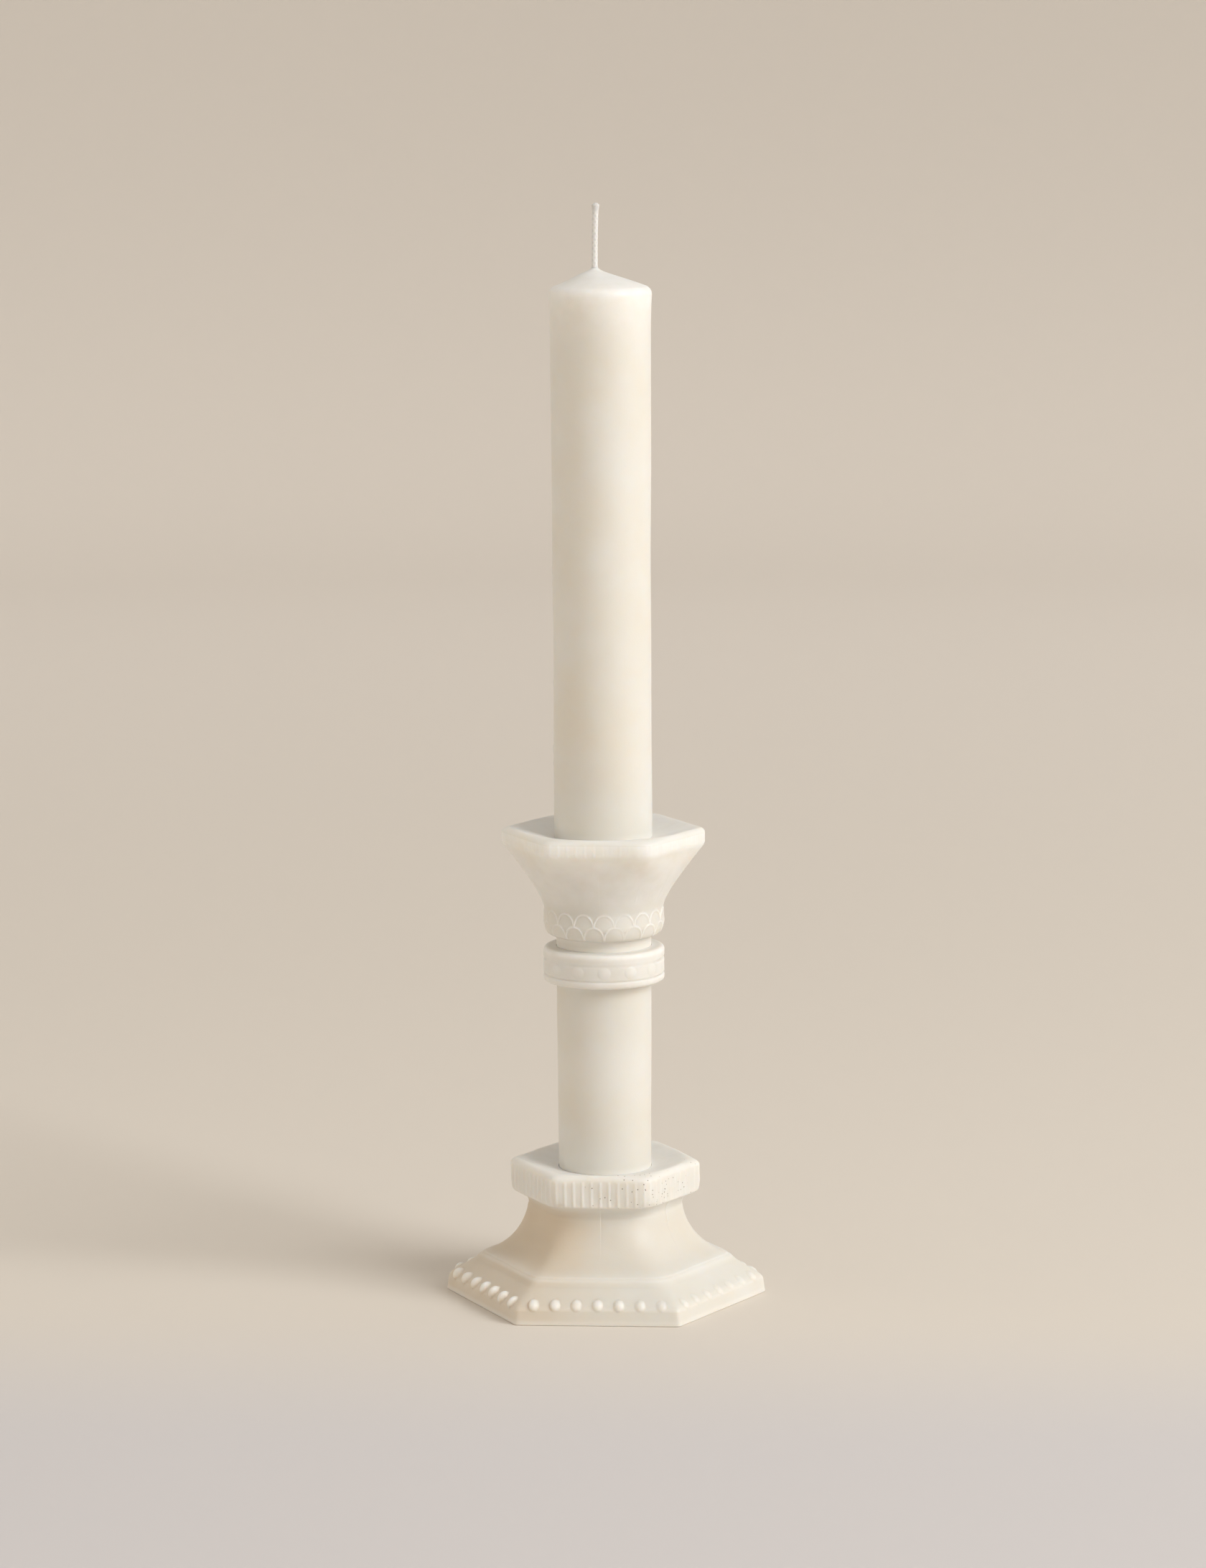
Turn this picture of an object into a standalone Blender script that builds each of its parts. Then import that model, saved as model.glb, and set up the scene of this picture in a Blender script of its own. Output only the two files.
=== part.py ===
"""Unity candle in the shape of a candle on a candlestick, all of it wax.

It stands on its foot at the origin, +Z up. Round and six-sided castings are threaded on
one wick, which a metal sustainer anchors in the underside of the foot. The corners of the
six-sided pieces lie on +X and every 60 degrees from it. Lengths are in metres, and MM
turns millimetres into them.
"""
import math

import bmesh
import bpy
from mathutils import Matrix, Vector

MM = 0.001
GAP = 0.3 * MM            # air left between two castings that the maker welds with wax
ROUND_STEPS = 48
SIDES = 6

# Heights of the joints, from the table up
FOOT_TOP = 23.2 * MM
COLLAR_BOTTOM = FOOT_TOP + GAP
COLLAR_TOP = 31.0 * MM
RING_BOTTOM = 72.4 * MM
RING_TOP = 80.3 * MM
CUP_BOTTOM = 82.8 * MM
CUP_TOP = 107.2 * MM
CANDLE_SHOULDER = 228.5 * MM
CANDLE_TOP = 232.2 * MM
WICK_TOP = 246.7 * MM

# Wick and its anchor
WICK_RADIUS = 0.7 * MM
WICK_BORE_RADIUS = WICK_RADIUS + GAP
WICK_DRIFT = -1.2 * MM            # how far the wick wandered off the axis in the long pour
WICK_DRIFT_START = 130.0 * MM
WICK_DRIFT_HEIGHTS = [height * MM for height in (130, 145, 160, 175, 190, 205, 220)]
WICK_TIP_LEAN = 0.3 * MM
WICK_KNOB = 1.15                  # the tip is a little thicker where it was cut and waxed
RECESS_RADIUS = 12.0 * MM
RECESS_DEPTH = 3.2 * MM
SUSTAINER_RADIUS = 8.0 * MM
SUSTAINER_SHEET = 0.3 * MM
CRIMP_RADIUS = 1.6 * MM
CRIMP_TOP = 8.7 * MM
PLUG_BOTTOM = 0.2 * MM

# Foot: a corner is measured along an arris, a flat along the middle of a side
CORNER_PER_FLAT = 1.0 / math.cos(math.pi / SIDES)
FOOT_CORNER = 36.58 * MM
BAND_TOP_FLAT = 31.3 * MM
BAND_TOP = 3.2 * MM
SLOPE_FOOT_FLAT = 29.9 * MM
SLOPE_FOOT = 4.8 * MM
RIDGE_FLAT = 24.6 * MM
RIDGE_FOOT = 8.1 * MM
RIDGE_TOP = 9.0 * MM
RIDGE_EDGE = 0.4 * MM
CAVETTO_RADIUS = 13.5 * MM
NECK_CORNER = 17.9 * MM
FLARE_CORNER = 18.6 * MM
FLARE_HEIGHT = 21.9 * MM
FOOT_TOP_CORNER = 20.0 * MM
SOCKET_FLOOR = 12.0 * MM

# Pearl border, one row along each side of the foot
PEARLS_PER_SIDE = 7
PEARL_PITCH = 4.74 * MM
PEARL_FLAT = 30.3 * MM
PEARL_HEIGHT = 4.5 * MM
PEARL_SIZE = Vector((1.1 * MM, 1.5 * MM, 0.95 * MM))      # half width, length, rise
PEARL_SLOPE = math.radians(38.0)

# Fluting of the collar and of the cup's rim
FLUTE_DEPTH = 0.35 * MM
FLUTE_PITCH = 1.95 * MM
COLLAR_CORNER = 22.05 * MM
COLLAR_EDGE = 1.4 * MM
COLLAR_LIP = 2.2 * MM             # height of the sloping lower edge
COLLAR_LIP_INSET = 0.9 * MM
RIM_CORNER = 23.45 * MM
RIM_HEIGHT = 3.8 * MM
RIM_EDGE = 0.8 * MM

# Column and candle
STEM_BOTTOM_RADIUS = 10.5 * MM
STEM_TOP_RADIUS = 10.8 * MM
STEM_SOCKET_TOP = 87.0 * MM
RING_RADIUS = 13.85 * MM
RING_EDGE = 0.4 * MM
RING_NOTCH_DEPTH = 0.6 * MM
RING_NOTCH_HALF = 0.35 * MM
RING_NOTCHES = (77.4 * MM, 74.1 * MM)
CUP_WAIST_RADIUS = 13.4 * MM
CUP_WAIST_HEIGHT = 89.2 * MM
FLARE_BOW = 1.1 * MM
BOWL_LINE = ((13.34, 87.4), (13.5, 86.1), (13.2, 84.6), (12.8, 83.5), (12.0, 82.8))
CANDLE_RADIUS = 11.0 * MM
CANDLE_TOP_RADIUS = 11.5 * MM
CANDLE_EDGE = 1.3 * MM
CANDLE_SWELL = (11.2 * MM, 218.0 * MM)      # where the sides start to spread to the shoulder
CANDLE_STRAIGHT_TOP = 175.0 * MM
CANDLE_TAIL_RADIUS = 10.9 * MM
CANDLE_SOCKET_FLOOR = 90.0 * MM
WICK_COLLAR = (3.4 * MM, CANDLE_TOP - 0.7 * MM)      # the wax drawn up round the wick


def remove_everything():
    for old in list(bpy.data.objects):
        bpy.data.objects.remove(old, do_unlink=True)


def new_collection(name):
    group = bpy.data.collections.new(name)
    bpy.context.scene.collection.children.link(group)
    return group


def principled(name, colour, roughness, metallic=0.0):
    material = bpy.data.materials.new(name)
    material.use_nodes = True
    shader = material.node_tree.nodes["Principled BSDF"]
    shader.inputs["Base Color"].default_value = (*colour, 1.0)
    shader.inputs["Roughness"].default_value = roughness
    shader.inputs["Metallic"].default_value = metallic
    return material


def place(obj, group, material=None):
    group.objects.link(obj)
    if material is not None:
        obj.data.materials.append(material)
    return obj


def arc(centre, radius, start, end, points):
    """Points (x, z) on a circle, from the start angle to the end angle in degrees."""
    turn = (end - start) / (points - 1)
    angles = [math.radians(start + turn * i) for i in range(points)]
    return [(centre[0] + radius * math.cos(a), centre[1] + radius * math.sin(a)) for a in angles]


def turned(name, profile, closed=False, steps=ROUND_STEPS):
    """A profile in the XZ plane, turned about Z by a Screw modifier.

    The profile runs down its outer side. A closed one leaves a bore; an open one
    starts and ends on the axis. Six steps give a six-sided piece.
    """
    mesh = bpy.data.meshes.new(name)
    edges = [(i, i + 1) for i in range(len(profile) - 1)]
    if closed:
        edges.append((len(profile) - 1, 0))
    mesh.from_pydata([(x, 0.0, z) for x, z in profile], edges, [])
    obj = bpy.data.objects.new(name, mesh)
    screw = obj.modifiers.new("Turn", "SCREW")
    screw.axis = "Z"
    screw.steps = steps
    screw.render_steps = steps
    screw.use_merge_vertices = True
    screw.merge_threshold = 0.01 * MM
    screw.use_smooth_shade = steps > SIDES
    return obj


def round_cutter(name, radius, bottom, top):
    return turned(name, [(0.0, top), (radius, top), (radius, bottom), (0.0, bottom)])


def cord_curve(name, radius, points):
    """A round cord through (x, z, thickness factor) points in the XZ plane, with filled caps."""
    path = bpy.data.curves.new(name, "CURVE")
    path.dimensions = "3D"
    path.bevel_depth = radius
    path.bevel_resolution = 2
    path.use_fill_caps = True
    spline = path.splines.new("POLY")
    spline.points.add(len(points) - 1)
    for knot, (x, z, thickness) in zip(spline.points, points):
        knot.co = (x, 0.0, z, 1.0)
        knot.radius = thickness
    return bpy.data.objects.new(name, path)


def as_mesh(curve):
    """The same shape as a welded mesh, which a Boolean can use; the curve is removed."""
    bpy.context.scene.collection.objects.link(curve)
    bpy.context.view_layer.update()
    mesh = bpy.data.meshes.new_from_object(
        curve.evaluated_get(bpy.context.evaluated_depsgraph_get()))
    solid = bmesh.new()
    solid.from_mesh(mesh)
    bmesh.ops.remove_doubles(solid, verts=solid.verts, dist=0.001 * MM)
    bmesh.ops.recalc_face_normals(solid, faces=solid.faces)
    solid.to_mesh(mesh)
    solid.free()
    obj = bpy.data.objects.new(curve.name + "_mesh", mesh)
    obj.matrix_world = curve.matrix_world.copy()
    bpy.data.objects.remove(curve, do_unlink=True)
    return obj


def boolean(obj, tool, operation):
    tool.hide_render = True
    tool.display_type = "WIRE"
    step = obj.modifiers.new(operation.title(), "BOOLEAN")
    step.operation = operation
    step.solver = "EXACT"
    step.object = tool


def bevel_by_angle(obj, width, segments):
    bevel = obj.modifiers.new("Soft edges", "BEVEL")
    bevel.width = width
    bevel.segments = segments
    bevel.limit_method = "ANGLE"
    bevel.angle_limit = math.radians(40.0)


def corner(index, radius):
    angle = math.tau * index / SIDES
    return Vector((radius * math.cos(angle), radius * math.sin(angle)))


def fluted_outline(corner_radius):
    """Points of a hexagon whose sides carry upright reeds, three points to a reed."""
    points = []
    for side in range(SIDES):
        start = corner(side, corner_radius)
        end = corner(side + 1, corner_radius)
        outward = (start + end).normalized()
        reeds = round((end - start).length / FLUTE_PITCH)
        for reed in range(reeds):
            for across, sunk in ((0.0, 1.0), (0.33, 0.0), (0.67, 0.0)):
                along = (reed + across) / reeds
                points.append(start.lerp(end, along) - outward * FLUTE_DEPTH * sunk)
    return points


def fluted_prism(name, corner_radius, bottom, top):
    """A flat filled outline, given its thickness by extrusion, as a closed mesh."""
    outline = bpy.data.curves.new(name, "CURVE")
    outline.dimensions = "2D"
    outline.fill_mode = "BOTH"
    outline.extrude = (top - bottom) / 2
    points = fluted_outline(corner_radius)
    spline = outline.splines.new("POLY")
    spline.points.add(len(points) - 1)
    spline.use_cyclic_u = True
    for knot, point in zip(spline.points, points):
        knot.co = (point.x, point.y, 0.0, 1.0)
    flat = bpy.data.objects.new(name + "_outline", outline)
    flat.location.z = (top + bottom) / 2
    prism = as_mesh(flat)
    prism.name = name
    return prism


def foot_profile():
    """Outer line of the foot along an arris, top to bottom, with all it holds cut later."""
    ridge = RIDGE_FLAT * CORNER_PER_FLAT
    centre_x = NECK_CORNER + CAVETTO_RADIUS
    sweep = math.degrees(math.asin((centre_x - ridge) / CAVETTO_RADIUS))
    centre_z = RIDGE_TOP + CAVETTO_RADIUS * math.cos(math.radians(sweep))
    cavetto = arc((centre_x, centre_z), CAVETTO_RADIUS, 188.0, 270.0 - sweep, 9)
    border = [(RIDGE_FLAT + RIDGE_EDGE, RIDGE_TOP - RIDGE_EDGE),
              (RIDGE_FLAT + RIDGE_EDGE, RIDGE_FOOT),
              (SLOPE_FOOT_FLAT, SLOPE_FOOT),
              (BAND_TOP_FLAT - RIDGE_EDGE, BAND_TOP + 2 * RIDGE_EDGE),
              (BAND_TOP_FLAT, BAND_TOP)]
    flare = [(FOOT_TOP_CORNER, FOOT_TOP), (FLARE_CORNER, FLARE_HEIGHT)]
    line = [(0.0, FOOT_TOP)] + flare + cavetto
    line += [(flat * CORNER_PER_FLAT, height) for flat, height in border]
    return line + [(FOOT_CORNER, 0.0), (0.0, 0.0)]


def foot_bores():
    """Socket for the stem, wick bore, pocket for the crimp tube and the underside recess."""
    socket = STEM_BOTTOM_RADIUS + 2 * GAP
    pocket = CRIMP_RADIUS + GAP
    clear = 1.0 * MM
    return turned("foot_bores", [
        (0.0, FOOT_TOP + clear), (socket, FOOT_TOP + clear), (socket, SOCKET_FLOOR),
        (WICK_BORE_RADIUS, SOCKET_FLOOR), (WICK_BORE_RADIUS, CRIMP_TOP + GAP),
        (pocket, CRIMP_TOP + GAP), (pocket, RECESS_DEPTH), (RECESS_RADIUS, RECESS_DEPTH),
        (RECESS_RADIUS + GAP, -clear), (0.0, -clear)])


def pearl_row():
    """All the pearls of the border as one tool, each half sunk in the foot's slope."""
    shape = bmesh.new()
    for side in range(SIDES):
        turn = Matrix.Rotation(math.tau * (side + 0.5) / SIDES, 4, "Z")
        for number in range(PEARLS_PER_SIDE):
            along = (number - (PEARLS_PER_SIDE - 1) / 2) * PEARL_PITCH
            spot = Matrix.Translation((PEARL_FLAT, along, PEARL_HEIGHT))
            tilt = Matrix.Rotation(PEARL_SLOPE, 4, "Y")
            size = Matrix.Diagonal((PEARL_SIZE.y, PEARL_SIZE.x, PEARL_SIZE.z, 1.0))
            bmesh.ops.create_uvsphere(shape, u_segments=8, v_segments=4, radius=1.0,
                                      matrix=turn @ spot @ tilt @ size)
    mesh = bpy.data.meshes.new("pearls")
    shape.to_mesh(mesh)
    shape.free()
    return bpy.data.objects.new("pearls", mesh)


def make_foot(parts, cutters, wax):
    foot = place(turned("foot", foot_profile(), steps=SIDES), parts, wax)
    boolean(foot, place(pearl_row(), cutters), "UNION")
    boolean(foot, place(foot_bores(), cutters), "DIFFERENCE")


def make_foot_collar(parts, cutters, wax):
    """A reeded six-sided slab whose edges are rounded by a smooth block around it."""
    collar = fluted_prism("foot_collar", COLLAR_CORNER, COLLAR_BOTTOM, COLLAR_TOP)
    place(collar, parts, wax)
    block_line = [(0.0, COLLAR_TOP), (COLLAR_CORNER, COLLAR_TOP),
                  (COLLAR_CORNER, COLLAR_BOTTOM + COLLAR_LIP),
                  (COLLAR_CORNER - COLLAR_LIP_INSET, COLLAR_BOTTOM), (0.0, COLLAR_BOTTOM)]
    block = place(turned("collar_block", block_line, steps=SIDES), cutters)
    bevel_by_angle(block, COLLAR_EDGE, 3)
    boolean(collar, block, "INTERSECT")
    bore = round_cutter("collar_bore", STEM_BOTTOM_RADIUS + 2 * GAP,
                      COLLAR_BOTTOM - COLLAR_EDGE, COLLAR_TOP + COLLAR_EDGE)
    boolean(collar, place(bore, cutters), "DIFFERENCE")


def stem_radius(height):
    share = (height - SOCKET_FLOOR) / (STEM_SOCKET_TOP - SOCKET_FLOOR)
    return STEM_BOTTOM_RADIUS + share * (STEM_TOP_RADIUS - STEM_BOTTOM_RADIUS)


def make_stem(parts, wax):
    bottom = SOCKET_FLOOR + GAP
    top = STEM_SOCKET_TOP - GAP
    line = [(WICK_BORE_RADIUS, top), (STEM_TOP_RADIUS, top), (stem_radius(bottom), bottom),
            (WICK_BORE_RADIUS, bottom)]
    place(turned("stem", line, closed=True), parts, wax)


def make_ring_collar(parts, wax):
    """A plain disc over a band and a lip, parted by two turned notches."""
    bore = STEM_TOP_RADIUS + GAP
    line = [(bore, RING_TOP), (RING_RADIUS - RING_EDGE, RING_TOP),
            (RING_RADIUS, RING_TOP - RING_EDGE)]
    for notch in RING_NOTCHES:
        line += [(RING_RADIUS, notch + RING_NOTCH_HALF), (RING_RADIUS - RING_NOTCH_DEPTH, notch),
                 (RING_RADIUS, notch - RING_NOTCH_HALF)]
    line += [(RING_RADIUS - RING_EDGE, RING_BOTTOM + RING_EDGE),
             (RING_RADIUS - 3 * RING_EDGE, RING_BOTTOM), (bore, RING_BOTTOM)]
    place(turned("ring_collar", line, closed=True), parts, wax)


def cup_rings():
    """(corner radius, height, squareness of the hexagon) from the rim down to the base."""
    rim_foot = CUP_TOP - RIM_HEIGHT
    core = RIM_CORNER - 0.8 * FLUTE_DEPTH
    rings = [(core, CUP_TOP, 1.0), (core, rim_foot, 1.0)]
    flare_steps = 7
    for step in range(1, flare_steps + 1):
        down = step / flare_steps
        radius = core + (CUP_WAIST_RADIUS - core) * down - FLARE_BOW * math.sin(math.pi * down)
        height = rim_foot + (CUP_WAIST_HEIGHT - rim_foot) * down
        rings.append((radius, height, (1.0 - down) ** 1.5))
    return rings + [(radius * MM, height * MM, 0.0) for radius, height in BOWL_LINE]


def ring_points(radius, height, squareness):
    """A ring between a circle and the hexagon that shares its corners."""
    points = []
    for step in range(ROUND_STEPS):
        angle = math.tau * step / ROUND_STEPS
        off_flat = (angle % (math.tau / SIDES)) - math.pi / SIDES
        hexagon = math.cos(math.pi / SIDES) / math.cos(off_flat)
        reach = radius * (1.0 + (hexagon - 1.0) * squareness)
        points.append((reach * math.cos(angle), reach * math.sin(angle), height))
    return points


def cup_body():
    """Lofted from a six-sided rim to a round base, because no turned shape makes that."""
    shape = bmesh.new()
    loops = []
    for ring in cup_rings():
        verts = [shape.verts.new(point) for point in ring_points(*ring)]
        loops.append([shape.edges.new((verts[i - 1], verts[i])) for i in range(ROUND_STEPS)])
    for upper, lower in zip(loops, loops[1:]):
        bmesh.ops.bridge_loops(shape, edges=upper + lower)
    bmesh.ops.holes_fill(shape, edges=loops[0] + loops[-1])
    bmesh.ops.recalc_face_normals(shape, faces=shape.faces)
    mesh = bpy.data.meshes.new("cup")
    shape.to_mesh(mesh)
    shape.free()
    return bpy.data.objects.new("cup", mesh)


def cup_bores():
    """Socket for the candle, wick bore through the web, and the hole over the stem."""
    candle_socket = CANDLE_RADIUS + GAP
    stem_socket = STEM_TOP_RADIUS + GAP
    clear = 1.0 * MM
    return turned("cup_bores", [
        (0.0, CUP_TOP + clear), (candle_socket, CUP_TOP + clear),
        (candle_socket, CANDLE_SOCKET_FLOOR), (WICK_BORE_RADIUS, CANDLE_SOCKET_FLOOR),
        (WICK_BORE_RADIUS, STEM_SOCKET_TOP), (stem_socket, STEM_SOCKET_TOP),
        (stem_socket, CUP_BOTTOM - clear), (0.0, CUP_BOTTOM - clear)])


def make_cup(parts, cutters, wax):
    cup = place(cup_body(), parts, wax)
    reeds_bottom = CUP_TOP - RIM_HEIGHT + RIM_EDGE / 4
    reeds_top = CUP_TOP - RIM_EDGE
    reeds = place(fluted_prism("rim_reeds", RIM_CORNER, reeds_bottom, reeds_top), cutters)
    boolean(cup, reeds, "UNION")
    boolean(cup, place(cup_bores(), cutters), "DIFFERENCE")


def wick_point(height, thickness=1.0):
    """(x, z, thickness factor) of the wick: straight up the base, then adrift, then free."""
    rise = (height - WICK_DRIFT_START) / (CANDLE_TOP - WICK_DRIFT_START)
    rise = min(max(rise, 0.0), 1.0)
    free = max(0.0, (height - CANDLE_TOP) / (WICK_TOP - CANDLE_TOP))
    x = WICK_DRIFT * rise * rise * (3.0 - 2.0 * rise) + WICK_TIP_LEAN * free ** 2
    return (x, height, thickness)


def make_candle(parts, cutters, wax):
    """Slightly tapering, with a rounded shoulder and a low cone up to the wick."""
    bottom = CANDLE_SOCKET_FLOOR + GAP
    shoulder_centre = (CANDLE_TOP_RADIUS - CANDLE_EDGE, CANDLE_SHOULDER - CANDLE_EDGE)
    line = [(0.0, CANDLE_TOP), WICK_COLLAR]
    line += arc(shoulder_centre, CANDLE_EDGE, 72.0, 0.0, 5)
    line += [CANDLE_SWELL, (CANDLE_RADIUS, CANDLE_STRAIGHT_TOP), (CANDLE_RADIUS, CUP_TOP)]
    line += [(CANDLE_TAIL_RADIUS, bottom), (0.0, bottom)]
    candle = place(turned("candle", line), parts, wax)
    clear = 1.0 * MM
    heights = [bottom - clear] + WICK_DRIFT_HEIGHTS + [CANDLE_TOP + clear]
    points = [wick_point(height) for height in heights]
    bore = as_mesh(cord_curve("wick_bore", WICK_BORE_RADIUS, points))
    boolean(candle, place(bore, cutters), "DIFFERENCE")


def make_wick(parts, cotton):
    """One cord from the sustainer to its free tip, held by the wax on the way."""
    bottom = RECESS_DEPTH - GAP - SUSTAINER_SHEET
    points = [wick_point(height) for height in [bottom, SOCKET_FLOOR] + WICK_DRIFT_HEIGHTS]
    free = WICK_TOP - CANDLE_TOP
    points += [wick_point(CANDLE_TOP + free * share) for share in (0.0, 0.3, 0.6, 0.85)]
    points += [wick_point(CANDLE_TOP + free * share, WICK_KNOB) for share in (0.93, 1.0)]
    place(cord_curve("wick", WICK_RADIUS, points), parts, cotton)


def make_wick_sustainer(parts, tin):
    """A pressed disc with an upright tube that is crimped on the wick's lower end."""
    top = RECESS_DEPTH - GAP
    bottom = top - SUSTAINER_SHEET
    line = [(WICK_BORE_RADIUS, CRIMP_TOP), (CRIMP_RADIUS, CRIMP_TOP), (CRIMP_RADIUS, top),
            (SUSTAINER_RADIUS, top), (SUSTAINER_RADIUS, bottom), (WICK_BORE_RADIUS, bottom)]
    place(turned("wick_sustainer", line, closed=True), parts, tin)


def make_base_plug(parts, wax):
    """The last pour, which closes the recess under the sustainer."""
    radius = RECESS_RADIUS - GAP
    top = RECESS_DEPTH - 2 * GAP - SUSTAINER_SHEET
    line = [(0.0, top), (radius, top), (radius, PLUG_BOTTOM), (0.0, PLUG_BOTTOM)]
    place(turned("base_plug", line), parts, wax)


def main():
    remove_everything()
    parts = new_collection("unity_candle")
    cutters = new_collection("cutters")
    wax = {name: principled(name + "_wax", (0.86, 0.80, 0.68), 0.42)
           for name in ("foot", "foot_collar", "stem", "ring_collar", "cup", "candle", "base_plug")}
    make_foot(parts, cutters, wax["foot"])
    make_foot_collar(parts, cutters, wax["foot_collar"])
    make_stem(parts, wax["stem"])
    make_ring_collar(parts, wax["ring_collar"])
    make_cup(parts, cutters, wax["cup"])
    make_candle(parts, cutters, wax["candle"])
    make_base_plug(parts, wax["base_plug"])
    make_wick(parts, principled("primed_cotton", (0.90, 0.88, 0.84), 0.7))
    make_wick_sustainer(parts, principled("tinned_steel", (0.72, 0.72, 0.70), 0.3, 1.0))


main()
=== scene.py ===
"""Unity candle: a wax candle cast in the form of a slim candle on a six-sided candlestick.

The castings are turned profiles. Their points are then moved to make the six sides, the
flutes, the pearls and the scales, and to wear the wax. The colour carries painted light near
the joints and painted shade on the foot. The corners of the six-sided pieces lie on +X and
every 60 degrees from it, and the front is -Y.
"""

import math
from collections import namedtuple

import bmesh
import bpy
import numpy as np
from bpy.props import FloatProperty, FloatVectorProperty, IntProperty, PointerProperty
from mathutils import Matrix, Vector


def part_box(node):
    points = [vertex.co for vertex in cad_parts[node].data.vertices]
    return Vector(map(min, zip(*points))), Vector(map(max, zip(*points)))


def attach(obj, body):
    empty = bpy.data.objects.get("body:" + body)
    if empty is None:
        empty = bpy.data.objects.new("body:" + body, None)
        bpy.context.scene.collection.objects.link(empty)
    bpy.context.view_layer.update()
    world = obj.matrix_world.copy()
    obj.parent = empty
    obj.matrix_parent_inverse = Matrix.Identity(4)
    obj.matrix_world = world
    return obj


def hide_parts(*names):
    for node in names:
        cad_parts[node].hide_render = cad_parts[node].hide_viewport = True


bl_info = {
    "name": "Unity Candle",
    "version": (1, 0, 0),
    "blender": (4, 5, 0),
    "location": "View3D > Sidebar > Unity Candle",
    "description": "Builds a sculpted wax unity candle, its wick and a plain studio",
    "category": "Add Mesh",
}

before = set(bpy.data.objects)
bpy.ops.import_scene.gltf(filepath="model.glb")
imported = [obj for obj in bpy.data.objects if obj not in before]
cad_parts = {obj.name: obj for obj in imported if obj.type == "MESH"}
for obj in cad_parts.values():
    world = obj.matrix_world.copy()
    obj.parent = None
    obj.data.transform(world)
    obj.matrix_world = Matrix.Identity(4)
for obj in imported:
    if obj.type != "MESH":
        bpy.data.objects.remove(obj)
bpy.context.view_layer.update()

MM = 0.001
SIDES = 6
CORNER_PER_FLAT = 1.0 / math.cos(math.pi / SIDES)
WELD = 0.02 * MM                   # castings touch; this keeps their faces from coinciding
GLOW_DEPTH = 9.0 * MM              # how far light travels in thick wax
JOINT_GLOW = 0.45                  # and what share of the distance to a joint it may travel
SPIN_STEPS = 36                    # a multiple of the sides, so points fall on the corners

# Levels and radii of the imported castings
FOOT_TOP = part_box("foot")[1].z
COLLAR_BOTTOM, COLLAR_TOP = (corner.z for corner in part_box("foot_collar"))
STEM_BOTTOM, STEM_TOP = (corner.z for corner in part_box("stem"))
RING_BOTTOM, RING_TOP = (corner.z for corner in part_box("ring_collar"))
CUP_BOTTOM, CUP_TOP = (corner.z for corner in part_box("cup"))
CANDLE_BOTTOM, CANDLE_TOP = (corner.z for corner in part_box("candle"))
WICK_BOTTOM, WICK_TOP = (corner.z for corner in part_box("wick"))
PLUG_BOTTOM, PLUG_TOP = (corner.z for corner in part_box("base_plug"))
CRIMP_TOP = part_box("wick_sustainer")[1].z
FOOT_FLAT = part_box("foot")[1].y
COLLAR_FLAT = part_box("foot_collar")[1].y
STEM_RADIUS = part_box("stem")[1].x
RING_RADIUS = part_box("ring_collar")[1].x
CUP_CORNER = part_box("cup")[1].x
CANDLE_TOP_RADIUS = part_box("candle")[1].x
PLUG_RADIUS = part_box("base_plug")[1].x

# What the boxes don't give
GAP = 0.3 * MM
STEM_TAPER = 0.3 * MM
CANDLE_RADIUS = 11.0 * MM
CANDLE_TAIL_RADIUS = 10.9 * MM
WICK_RADIUS = 0.7 * MM
CRIMP_RADIUS = 1.6 * MM
RECESS_DEPTH = 3.2 * MM
SOCKET_RADIUS = STEM_RADIUS + GAP
SOCKET_FLOOR = STEM_BOTTOM - GAP
CUP_SEAT = CUP_TOP - 2.1 * MM      # the tops of cup and collar sink towards what they hold
COLLAR_SEAT = COLLAR_TOP - 1.7 * MM
WICK_DRIFT = -1.2 * MM             # how far the wick wandered off the axis in the long pour
WICK_DRIFT_START = 130.0 * MM
WICK_TIP_LEAN = 0.3 * MM
FRONT = math.radians(-86.5)        # the moulded patterns are centred here
CUP_SIDE_SHARPNESS = 57.0
COLLAR_SIDE_SHARPNESS = 34.0

# Sharpness of each corner against the plain outline, from +X round through +Y
FOOT_CORNERS = (0.8, 1.0, 1.0, 0.85, 0.8, 0.45)
COLLAR_CORNERS = (1.7, 1.2, 1.2, 1.7, 1.0, 0.8)
CUP_CORNERS = (1.0, 1.0, 1.0, 1.0, 0.5, 0.35)

# How much of each corner the edge of a top has kept: 0 is a worn disc, 1 is the whole corner
COLLAR_TOP_CORNERS = (0.35, 0.9, 0.95, 0.95, 0.6, 0.3)
CUP_TOP_CORNERS = (0.95, 1.0, 0.85, 0.8, 0.0, 0.0)

# How full a pearl is at bearings in degrees from the front towards +X: handling wore those
# on the right, and those on the left still overhang the band
PEARL_BEARINGS = (-180.0, -45.0, -25.0, 12.0, 28.0, 70.0, 110.0, 180.0)
PEARL_FULLNESS = (0.9, 1.15, 0.8, 0.7, 0.3, 0.25, 0.6, 0.9)

Row = namedtuple("Row", "radius height sharpness squareness", defaults=(2.0, 0.0))


def linear(code):
    """An sRGB hex colour as linear red, green and blue."""
    channels = [int(code[i:i + 2], 16) / 255.0 for i in (0, 2, 4)]
    return tuple(c / 12.92 if c <= 0.04045 else ((c + 0.055) / 1.055) ** 2.4 for c in channels)


# ---------------------------------------------------------------- settings

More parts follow.
